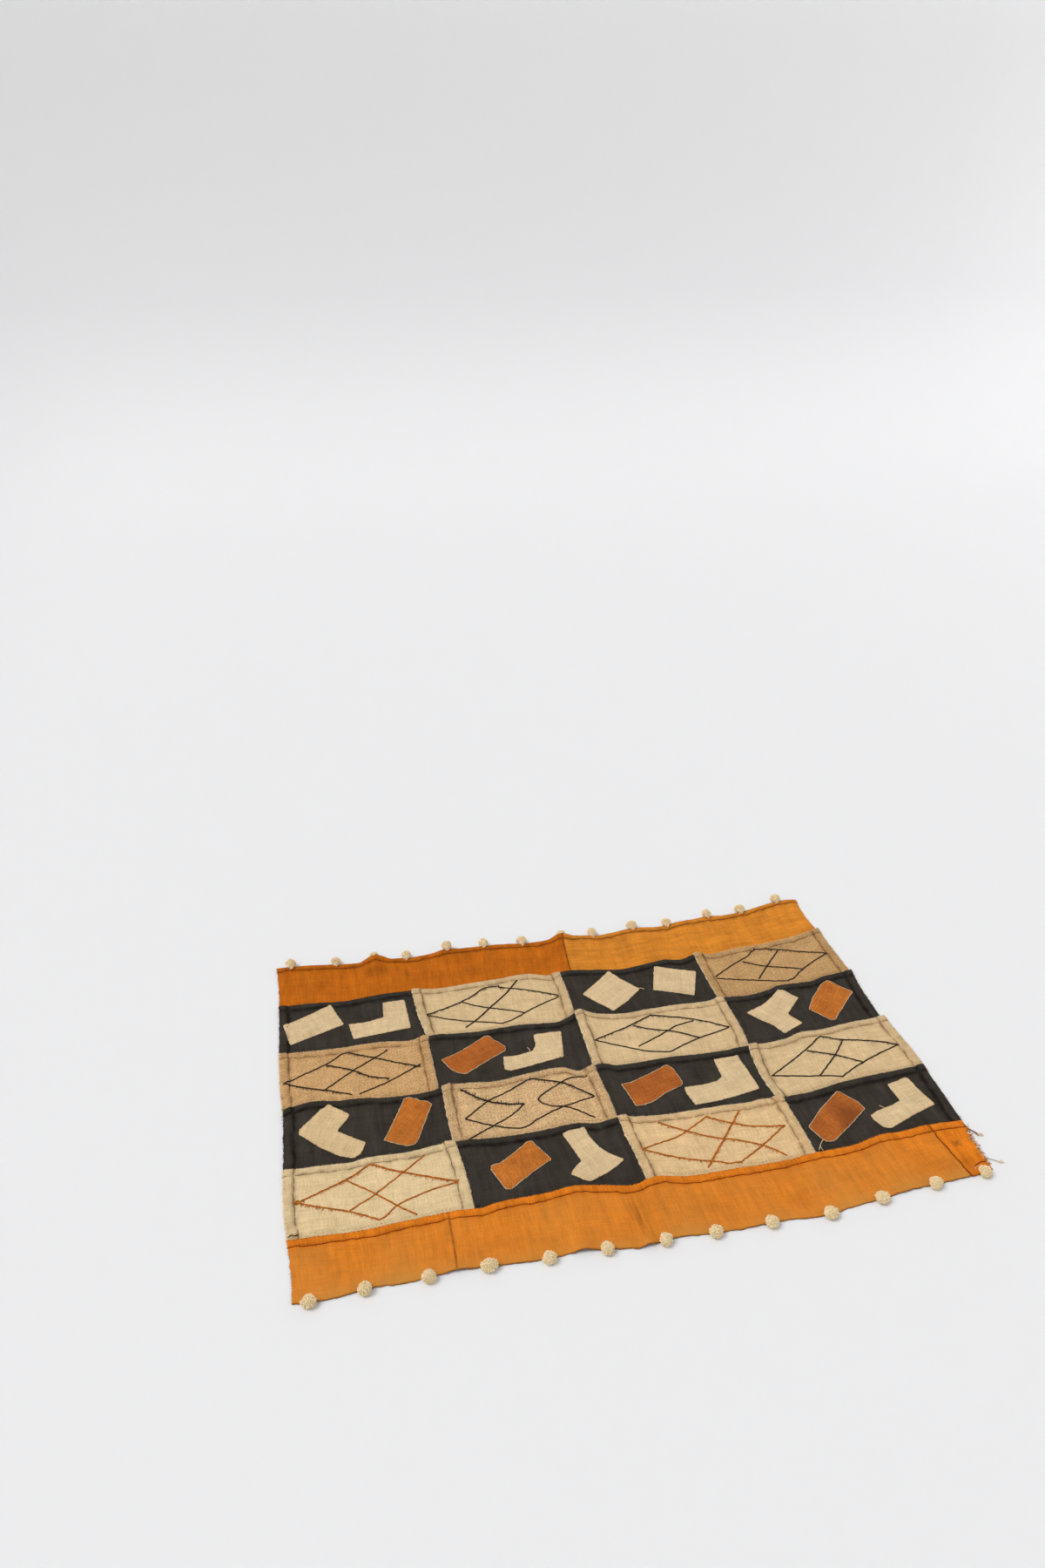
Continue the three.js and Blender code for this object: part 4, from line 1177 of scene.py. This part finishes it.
def makePatch(index, patch):
    name, piece = f"patch_{index + 1}", pieces[patch["on"]]
    seed = 700 + index
    outline = softOutline(patch["outline"], seed)
    count = len(outline)
    rings = [outline + inward(outline) * distance for distance, _ in patchShape["rim"]]
    rings[-1] = rings[-1] / 2 + (np.roll(rings[-1], 1, axis=0) + np.roll(rings[-1], -1, axis=0)) / 4
    step = patchShape["fill"]
    (lowU, lowV), (highU, highV) = outline.min(0), outline.max(0)
    grid = np.stack(np.meshgrid(np.arange(lowU, highU, step), np.arange(lowV, highV, step)), -1).reshape(-1, 2)
    gap = np.linalg.norm(grid[:, None] - rings[-1][None], axis=2).min(1)
    grid = grid[isInside(grid, rings[-1]) & (gap > step * 0.45)]
    loop = [(i, (i + 1) % count) for i in range(count)]
    start = (len(rings) - 1) * count
    inner = np.concatenate([rings[-1], grid])
    places, _, fill, origins, _, _ = delaunay_2d_cdt(inner.tolist(), loop, [], 1, 1e-6)
    found = {origin: i for i, group in enumerate(origins) for origin in group}
    flat = np.concatenate(rings[:-1] + [np.array([tuple(place) for place in places])])
    shares = np.full(len(flat), 0.85)
    shares[:start] = np.repeat([share for _, share in patchShape["rim"][:-1]], count)
    thickness = patchShape["thickness"] * shares
    ground = topOf(piece, flat[:, 0], flat[:, 1]) + patchShape["clear"]
    puff = 0.12 * (1 + ripple(flat[:, 0], flat[:, 1], 16, seed + 30)) * (shares > 0.8)
    points = np.concatenate([toFrame(flat[:, 0], flat[:, 1], ground),
                             toFrame(flat[:, 0], flat[:, 1], ground + thickness + puff)])
    over, total = [], len(flat)
    inRing = [list(range(k * count, (k + 1) * count)) for k in range(len(rings) - 1)]
    inRing.append([start + found[i] for i in range(count)])
    for outer, nextIn in zip(inRing, inRing[1:]):
        for i, j in loop:
            over.append(list(dict.fromkeys([outer[i], outer[j], nextIn[j], nextIn[i]])))
    over += [[start + i for i in face] for face in fill]
    under = [face[::-1] for face in over]
    over = [[i + total for i in face] for face in over]
    walls = [[i, j, j + total, i + total] for i, j in loop]
    cloth = addMesh(name, points, under + over + walls, finishes[patch["finish"]])
    shadeSmooth(cloth)
    sides = np.roll(outline, -6, axis=0) - outline
    u, v = sides[np.argmax(np.linalg.norm(sides, axis=1))]
    along = np.array([u, v]) / math.hypot(u, v)
    turned = np.stack([flat @ along, flat @ np.array([-along[1], along[0]])], -1)
    weave = turned * mm + np.array([0.23, 0.41]) * (index + 1)
    addWeave(cloth, np.concatenate([weave, weave]))
    dark = np.zeros(total)
    if patch["cloth"] == "brown":
        dark = patch["stain"] * np.clip(0.5 + 0.6 * ripple(flat[:, 0], flat[:, 1], 70, seed + 31), 0, 1)
        dark[:2 * count] = 0.35
    addAttribute(cloth, "dark", np.concatenate([dark, dark]))
    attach(cloth, "root")
    following = np.roll(outline, -1, axis=0)
    area = np.sum(outline[:, 0] * following[:, 1] - outline[:, 1] * following[:, 0]) / 2
    piece["name"] + "_cloth"
    edge = outline + inward(outline) * 0.25
    edge = np.concatenate([edge, edge[:1]])
    height = topOf(piece, edge[:, 0], edge[:, 1]) + patchShape["clear"] + 0.5
    path = {"points": toFrame(edge[:, 0], edge[:, 1], height)}
    if patch["cloth"] == "brown":
        addStitches(name + "_couching", [path], threads["pale"], {
            "Pitch": 2.7 * mm, "Length": 2.9 * mm, "Width": 1.25 * mm, "Height": 1.0 * mm,
            "Slant": 0.3, "Loose": 0.4}, seed)
    else:
        addStitches(name + "_couching", [path], threads["natural"], {
            "Pitch": 2.6 * mm, "Length": 2.5 * mm, "Width": 1.1 * mm, "Height": 0.8 * mm,
            "Slant": 0.3, "Loose": 0.4}, seed)
        addStitches(name + "_tacks", [path], threads["tack"], {
            "Pitch": 7.3 * mm, "Length": 1.2 * mm, "Width": 0.8 * mm, "Height": 1.2 * mm,
            "Slant": 1.2, "Loose": 0.6}, seed + 40)


for index, patch in enumerate(patches):
    makePatch(index, patch)
print("patches sewn on")

# Embroidered lines. teeth are short bars on the near side of a line, thorns longer ones on both.
embroidery = {
    "panel_1_2": ["black", [
        ("teeth", [(224, 465), (263, 477), (300, 494), (319, 507), (345, 508)]),
        ("teeth", [(345, 506), (376, 495), (416, 476), (432, 467)]),
        ("plain", [(432, 463), (392, 447), (350, 426), (335, 421)]),
        ("plain", [(224, 463), (263, 445), (307, 430), (335, 421)]),
        ("plain", [(282, 483), (306, 468), (355, 447), (373, 438)]),
        ("heavy", [(376, 515), (350, 486), (324, 463), (300, 440), (279, 425)])]],
    "panel_1_4": ["black", [
        ("plain", [(692, 458), (727, 479), (762, 497), (779, 511)]),
        ("teeth", [(779, 510), (816, 502), (853, 489), (892, 477)]),
        ("plain", [(891, 475), (857, 458), (829, 440), (814, 428), (801, 423)]),
        ("plain", [(692, 453), (727, 442), (779, 428), (801, 423)]),
        ("teeth", [(749, 484), (779, 466), (814, 454), (836, 446)]),
        ("plain", [(815, 498), (797, 480), (779, 461), (758, 438)])]],
    "panel_2_1": ["black", [
        ("plain", [(4, 361), (30, 373), (66, 390), (90, 404), (100, 405)]),
        ("teeth", [(100, 403), (127, 392), (173, 368), (198, 355)]),
        ("plain", [(199, 359), (156, 337), (108, 318)]),
        ("teeth", [(4, 361), (25, 350), (69, 333), (96, 319)]),
        ("teeth", [(66, 387), (100, 369), (125, 351), (151, 341)]),
        ("plain", [(155, 399), (116, 376), (88, 357), (58, 336)])]],
    "panel_2_3": ["black", [
        ("teeth", [(462, 355), (512, 371), (540, 382), (560, 390)]),
        ("teeth", [(560, 390), (592, 380), (640, 359), (669, 340)]),
        ("plain", [(668, 338), (614, 325), (583, 314), (565, 307)]),
        ("plain", [(462, 355), (503, 331), (536, 314), (565, 307)]),
        ("teeth", [(529, 373), (553, 360), (583, 349), (617, 327)]),
        ("plain", [(620, 364), (592, 359), (562, 345), (523, 328)])]],
    "panel_3_2": ["black", [
        ("thorns", [(249, 294), (279, 268), (303, 257), (331, 250)]),
        ("plain", [(247, 240), (283, 266), (313, 278), (350, 296)]),
        ("teeth", [(350, 296), (392, 280), (411, 264), (430, 245)]),
        ("plain", [(430, 282), (405, 285), (372, 269), (353, 255), (363, 241), (392, 230), (421, 205)]),
        ("plain", [(431, 243), (379, 232), (346, 219), (320, 207), (279, 221), (247, 239)]),
        ("plain", [(331, 250), (311, 234), (266, 212), (246, 202)])]],
    "panel_3_4": ["black", [
        ("plain", [(692, 228), (716, 241), (764, 269), (792, 288), (797, 289)]),
        ("teeth", [(797, 289), (825, 277), (879, 261), (901, 249)]),
        ("plain", [(901, 249), (864, 237), (818, 219), (790, 205)]),
        ("plain", [(692, 228), (749, 215), (775, 210), (790, 205)]),
        ("teeth", [(763, 265), (800, 249), (833, 225)]),
        ("plain", [(825, 276), (800, 249), (760, 214)])]],
    "panel_4_1": ["orange", [
        ("teeth", [(12, 143), (34, 151), (82, 171), (110, 186)]),
        ("heavyTeeth", [(110, 186), (138, 171), (186, 149), (219, 134)]),
        ("plain", [(219, 134), (177, 127), (138, 113), (120, 98), (113, 95)]),
        ("teeth", [(12, 143), (40, 131), (78, 116), (113, 95)]),
        ("plain", [(76, 168), (112, 137), (136, 113), (159, 94)]),
        ("plain", [(181, 186), (151, 165), (112, 137), (78, 118)]),
        ("heavy", [(10, 144), (12, 146.5), (15, 145), (14, 141.5), (10.5, 142)]),
        ("heavy", [(63, 162.5), (66, 164), (69, 165.5)])]],
    "panel_4_3": ["orange", [
        ("plain", [(468, 136), (488, 140), (523, 147), (549, 160), (572, 172)]),
        ("teeth", [(572, 172), (620, 146), (649, 138), (671, 135)]),
        ("plain", [(671, 135), (627, 107), (601, 93), (589, 87)]),
        ("teeth", [(468, 136), (512, 111), (562, 93), (573, 88), (589, 87)]),
        ("teeth", [(504, 176), (538, 153), (568, 136), (601, 123), (636, 102), (653, 85)]),
        ("heavyTeeth", [(620, 173), (588, 137), (562, 108), (544, 88)])]],
}
threadLook = {"Pitch": 1.75 * mm, "Length": 2.8 * mm, "Width": 2.4 * mm, "Height": 1.7 * mm,
              "Slant": 0.55, "Loose": 0.25}
toothLook = {"Pitch": 2.6 * mm, "Thickness": 1.3 * mm, "Tip": 0.42, "Spread": 0.15}
toothLength, thornLength, heavyGirth = 3.2, 3.2, 1.2


def embroider(panel, color, lines):
    piece, paths, teeth = pieces[panel], [], []
    for index, (kind, knots) in enumerate(lines):
        seed = piece["seed"] * 10 + index + 900
        path = pathOn(piece, knots, 0.35, wobble=0.35, seed=seed)
        path["girth"] = 1 if kind in ("plain", "teeth") else heavyGirth
        paths.append(path)
        if kind in ("plain", "heavy"):
            continue
        ahead = np.gradient(path["points"], axis=0)
        aside = np.stack([-ahead[:, 1], ahead[:, 0], 0 * ahead[:, 0]], -1)
        aside = aside / np.linalg.norm(aside, axis=1)[:, None] * mm
        aside = aside * np.where(aside[:, 1:2] > 0, -1, 1)
        for reach in (thornLength, -thornLength) if kind == "thorns" else (toothLength,):
            teeth.append({"points": path["points"], "out": aside * reach, "chance": 0.92})
    addStitches(panel + "_embroidery", paths, threads[color], threadLook, piece["seed"] + 5)
    addFibres(panel + "_teeth", teeth, threads[color], toothLook, piece["seed"] + 6)


for panel, (color, lines) in embroidery.items():
    embroider(panel, color, lines)
print("embroidery sewn")

# Loose ends of thread: the piece that they start on, and their course as u, v and height above
# what is beneath. tuft is the pale brush at the end.
looseEnds = [
    {"on": "near_band_end", "thread": "rust", "width": 1.1, "tuft": (0.8, -0.7), "course": [
        (906, 88, 0.2), (911, 81, 0.6), (914, 75, 1.6), (919, 68, 1.4), (921, 65, 1.0)]},
    {"on": "near_band_end", "thread": "tack", "width": 0.8, "tuft": None, "course": [
        (907, 84, 0.2), (912, 77, 1.0), (917, 69, 1.8), (920, 62, 1.0)]},
    {"on": "near_band_end", "thread": "red", "width": 0.9, "tuft": None, "course": [
        (885, 11, 0.3), (887, 15, 0.6), (893, 18, 0.8), (900, 20, 0.6), (905, 19, 0.5)]},
    {"on": "near_band_end", "thread": "tack", "width": 0.6, "tuft": (0.9, -0.2), "course": [
        (905, 22, 0.3), (910, 23, 1.2), (916, 19, 1.6), (922, 15, 1.0)]},
    {"on": "near_band_end", "thread": "pale", "width": 0.9, "tuft": None, "course": [
        (884, 9, 0.4), (886, 13, 1.0), (889, 12, 0.6)]},
    {"on": "near_band_end", "thread": "orangeFibre", "width": 0.9, "tuft": None, "course": [
        (878, 52, 0.2), (881, 51, 0.8), (884, 54, 1.0), (884, 58, 0.8), (888, 60, 0.3)]},
    {"on": "near_band_end", "thread": "orangeFibre", "width": 0.9, "tuft": None, "course": [
        (880, 59, 0.2), (882, 56, 1.3), (886, 55, 1.4), (888, 51, 0.3)]},
    {"on": "near_band_end", "thread": "orange", "width": 0.8, "tuft": None, "course": [
        (881, 55, 0.4), (884, 56, 1.9), (887, 57, 0.5)]},
    {"on": "panel_4_4", "thread": "pale", "width": 1.0, "tuft": None, "course": [
        (711, 99, 1.2), (706, 94, 1.0), (702, 89, 0.6), (699, 85, 0.5)]},
    {"on": "panel_4_4", "thread": "pale", "width": 0.7, "tuft": None, "course": [
        (704, 92, 0.8), (703, 87, 0.6), (703.5, 83, 0.5)]},
    {"on": "panel_4_4", "thread": "pale", "width": 0.7, "tuft": None, "course": [
        (821, 133, 1.2), (818, 137, 1.4), (815, 141, 0.8)]},
    {"on": "panel_1_3", "thread": "pale", "width": 1.1, "tuft": None, "course": [
        (561, 455, 1.2), (566, 455, 0.8), (569, 452, 0.5)]},
    {"on": "panel_2_2", "thread": "pale", "width": 0.7, "tuft": None, "course": [
        (361, 350, 1.2), (362, 355, 1.2), (360, 361, 0.6)]},
    {"on": "panel_4_1", "thread": "tack", "width": 1.5, "tuft": None, "course": [
        (0, 92, 0.3), (4, 94.5, 0.6), (8, 92.5, 0.5), (12, 95, 0.3)]},
    {"on": "panel_4_2", "thread": "black", "width": 1.6, "tuft": None, "course": [
        (229, 91, 0.3), (232, 88, 0.8), (236, 90, 0.6), (240, 91, 0.3)]},
]


def looseCourse(piece, course):
    knots = np.array(course, float)
    u, v = knots[:, 0], knots[:, 1]
    inside = np.min(list(awayFrom(piece, u, v).values()), axis=0) > 0
    return knots[:, 2] + np.where(inside, topOf(piece, u, v), 0.4)


def addLooseEnds():
    for index, end in enumerate(looseEnds):
        piece, name = pieces[end["on"]], f'{end["on"]}_loose_{index + 1}'
        knots = np.array(end["course"], float)
        run = np.concatenate([[0], np.cumsum(np.hypot(*np.diff(knots[:, :2], axis=0).T))])
        along = np.linspace(0, run[-1], round(run[-1]) + 3)
        u, v = curveAt(run, knots[:, 0], along), curveAt(run, knots[:, 1], along)
        points = toFrame(u, v, curveAt(run, looseCourse(piece, end["course"]), along))
        addStitches(name, [{"points": points}], threads[end["thread"]], {
            "Pitch": 0.9 * mm, "Length": 1.7 * mm, "Width": end["width"] * mm, "Height": end["width"] * mm,
            "Slant": 0.5, "Loose": 0.2}, 1300 + index)
        if end["tuft"]:
            way = np.array([*end["tuft"], 0.15]) * 4.5 * mm
            tip = np.linspace(points[-1] - way * 0.3, points[-1] + way * 0.2, 3)
            addFibres(name + "_brush", [{"points": tip, "out": np.tile(way, (3, 1))}], threads["naturalFibre"],
                      {"Pitch": 0.1 * mm, "Thickness": 0.9 * mm, "Tip": 0.3, "Spread": 0.55},
                      1350 + index)


addLooseEnds()
print("loose ends added")

# Tufts: the sections run from the sewn root over the hem to the outer end. low and high are above
# the hem, and no low means the floor. droop is for the two that hang behind the highest folds.
tuftSections = [
    {"out": -8, "halfWidth": 2.2, "low": 0, "high": 3.2},
    {"out": -4.5, "halfWidth": 6, "low": 0, "high": 8.5},
    {"out": 1.8, "halfWidth": 9.4, "low": 0, "high": 13},
    {"out": 4, "halfWidth": 10, "low": None, "high": 13.5},
    {"out": 7.5, "halfWidth": 8, "low": None, "high": 11.5},
    {"out": 10, "halfWidth": 4, "low": 1.5, "high": 8},
]
droopSections = [
    {"out": 0.6, "halfWidth": 3, "low": -2, "high": 0},
    {"out": 3, "halfWidth": 8, "low": -6, "high": 1.5},
    {"out": 7, "halfWidth": 9.5, "low": None, "high": 0},
    {"out": 11, "halfWidth": 7, "low": None, "high": -3},
    {"out": 13, "halfWidth": 3, "low": -8, "high": -5},
]
tuftShape = {"nominalWidth": 20, "sides": 12, "pad": 0.3, "strand": 1.8, "drooping": [159, 473]}
tuftLook = {"Density": 560000.0, "Length": 3.1 * mm, "Thickness": 1.2 * mm, "Spread": 0.45, "Hairs": 45000.0}


def makeTuft(name, u, width, edgeLine, sign, seed):
    edge, scale = float(lineAt(edgeLine, u)), width / tuftShape["nominalWidth"]
    sections = droopSections if u in tuftShape["drooping"] else tuftSections
    band = "near" if sign < 0 else "far"
    seat = 1.0 + cloth["hemExtra"] + tuftShape["pad"] + max(
        float(liftAt(np.array(u + d), np.array(edge))) for d in (-3.0, 0.0, 3.0))
    inset, sides, points, out = tuftShape["strand"], tuftShape["sides"], [], []
    pick = np.random.default_rng(seed)
    phase, lean = pick.uniform(0, 2 * math.pi, 2), pick.uniform(-0.9, 0.9)
    for section in sections:
        low = 0 if section["low"] is None else max(0, seat + section["low"])
        high = seat + section["high"] * scale
        middle, tall = (low + high) / 2, max(0.4, (high - low) / 2 - inset)
        wide = max(0.5, section["halfWidth"] * scale - inset) * pick.uniform(0.9, 1.06)
        tall = tall * pick.uniform(0.9, 1.05)
        v = edge + sign * section["out"] * 0.9
        for k in range(sides):
            angle = 2 * math.pi * k / sides
            lump = 1 + 0.1 * math.sin(2 * angle + phase[0]) + 0.09 * math.sin(3 * angle + section["out"] + phase[1])
            points.append((u + lean + wide * lump * math.cos(angle), v, middle + tall * lump * math.sin(angle)))
            out.append((0, sign * 0.5, 0))
    last, faces = len(sections) - 1, []
    for s in range(last):
        for k in range(sides):
            a, b = s * sides + k, s * sides + (k + 1) % sides
            faces.append([a, b, b + sides, a + sides])
    faces += [list(range(sides))[::-1], [last * sides + k for k in range(sides)]]
    if sign < 0:
        faces = [face[::-1] for face in faces]
    us, vs, zs = np.array(points).T
    core = addMesh(name, toFrame(us, vs, zs), [face[::-1] for face in faces], None)
    # painted shade: the core, seen between the strands, is made darker
    addAttribute(core, "shade", np.full(len(points), 0.45))
    core.data.attributes.new("out", "FLOAT_VECTOR", "POINT").data.foreach_set(
        "vector", np.array(out, np.float32).ravel())
    core = grow(core, "tuft", {**tuftLook, "Finish": threads["tuft"], "Seed": seed})
    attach(core, "root")
    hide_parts(f"{band}_tuft_{seed % 100 + 1}")


for i, (u, width) in enumerate(zip(nearTufts["u"], nearTufts["width"])):
    makeTuft(f"near_tuft_{i + 1}_strands", u, width, "nearEdge", -1, 1100 + i)
for i, (u, width) in enumerate(zip(farTufts["u"], farTufts["width"])):
    makeTuft(f"far_tuft_{i + 1}_strands", u, width, "farEdge", 1, 1200 + i)
print("tufts made")


# The floor is flat round the cloth, then turns up into a pale backdrop with rounded corners.
sweep = {"flat": 3.0, "bend": 1.6, "top": 3.4, "steps": 20, "sides": 64, "square": 6, "drop": 0.2 * mm}


def makeFloor():
    finish = newFinish("pale_floor")
    tree = finish.node_tree
    place = addNode(tree, "ShaderNodeTexCoord", output=3)
    across = place.node("ShaderNodeSeparateXYZ", None, {0: place})
    height = place.node("ShaderNodeSeparateXYZ", None, {0: place}, output=2)
    # painted light: the backdrop is paler towards the top, and the side away from the sun glows a little, painted in as
    # light from behind
    color = place.node("ShaderNodeValToRGB", {
        "stops": [(0.0, linear("#e8e8e9") + [1]), (1.0, (1, 1, 1, 1))]}, {"Fac": height * 0.7 - 0.4})
    paintedBacklight = place.node("ShaderNodeValToRGB", {  # the side away from the sun is lit a little from behind
        "stops": [(0.0, (0, 0, 0, 1)), (1.0, (0.24, 0.24, 0.24, 1))]}, {"Fac": across * -0.625 - 1.875})
    shader = place.node("ShaderNodeBsdfPrincipled", None, {
        "Base Color": color, "Roughness": 0.7, "Emission Color": paintedBacklight, "Emission Strength": 1.0})
    out = tree.nodes.new("ShaderNodeOutputMaterial")
    tree.links.new(shader.socket, out.inputs["Surface"])
    points, faces = [(0, 0, -sweep["drop"])], []
    for ring in range(sweep["steps"] + 3):
        turn = math.pi / 2 * min(max(ring - 1, 0), sweep["steps"]) / sweep["steps"]
        reach = sweep["flat"] * (0.4 if ring == 0 else 1) + sweep["bend"] * math.sin(turn)
        rise = sweep["bend"] * (1 - math.cos(turn)) if ring < sweep["steps"] + 2 else sweep["top"]
        for k in range(sweep["sides"]):
            x, y = math.cos(2 * math.pi * k / sweep["sides"]), math.sin(2 * math.pi * k / sweep["sides"])
            scale = reach / (abs(x) ** sweep["square"] + abs(y) ** sweep["square"]) ** (1 / sweep["square"])
            points.append((x * scale, y * scale, rise - sweep["drop"]))
    for k in range(sweep["sides"]):
        after = (k + 1) % sweep["sides"]
        faces.append((0, 1 + k, 1 + after))
        for ring in range(sweep["steps"] + 2):
            first = 1 + ring * sweep["sides"]
            faces.append((first + k, first + k + sweep["sides"], first + after + sweep["sides"], first + after))
    floor = addMesh("floor", points, faces, finish)
    shadeSmooth(floor)


# Soft studio light: an even pale surround and a broad soft source above and to the left.
studio = {"surround": (1, 1, 1, 1), "surroundStrength": 0.518, "sunStrength": 1.62, "softness": 32,
          "from": (-0.6, -0.06, 1.0)}


def makeLights():
    world = bpy.data.worlds.new("soft_studio")
    world.use_nodes = True
    world.node_tree.nodes["Background"].inputs["Color"].default_value = studio["surround"]
    world.node_tree.nodes["Background"].inputs["Strength"].default_value = studio["surroundStrength"]
    bpy.context.scene.world = world
    light = bpy.data.lights.new("soft_sun", "SUN")
    light.energy, light.angle = studio["sunStrength"], math.radians(studio["softness"])
    lamp = bpy.data.objects.new("soft_sun", light)
    lamp.rotation_euler = Vector(studio["from"]).to_track_quat("Z", "Y").to_euler()
    bpy.context.scene.collection.objects.link(lamp)
    bpy.context.scene.view_settings.view_transform = "Standard"


makeFloor()
makeLights()
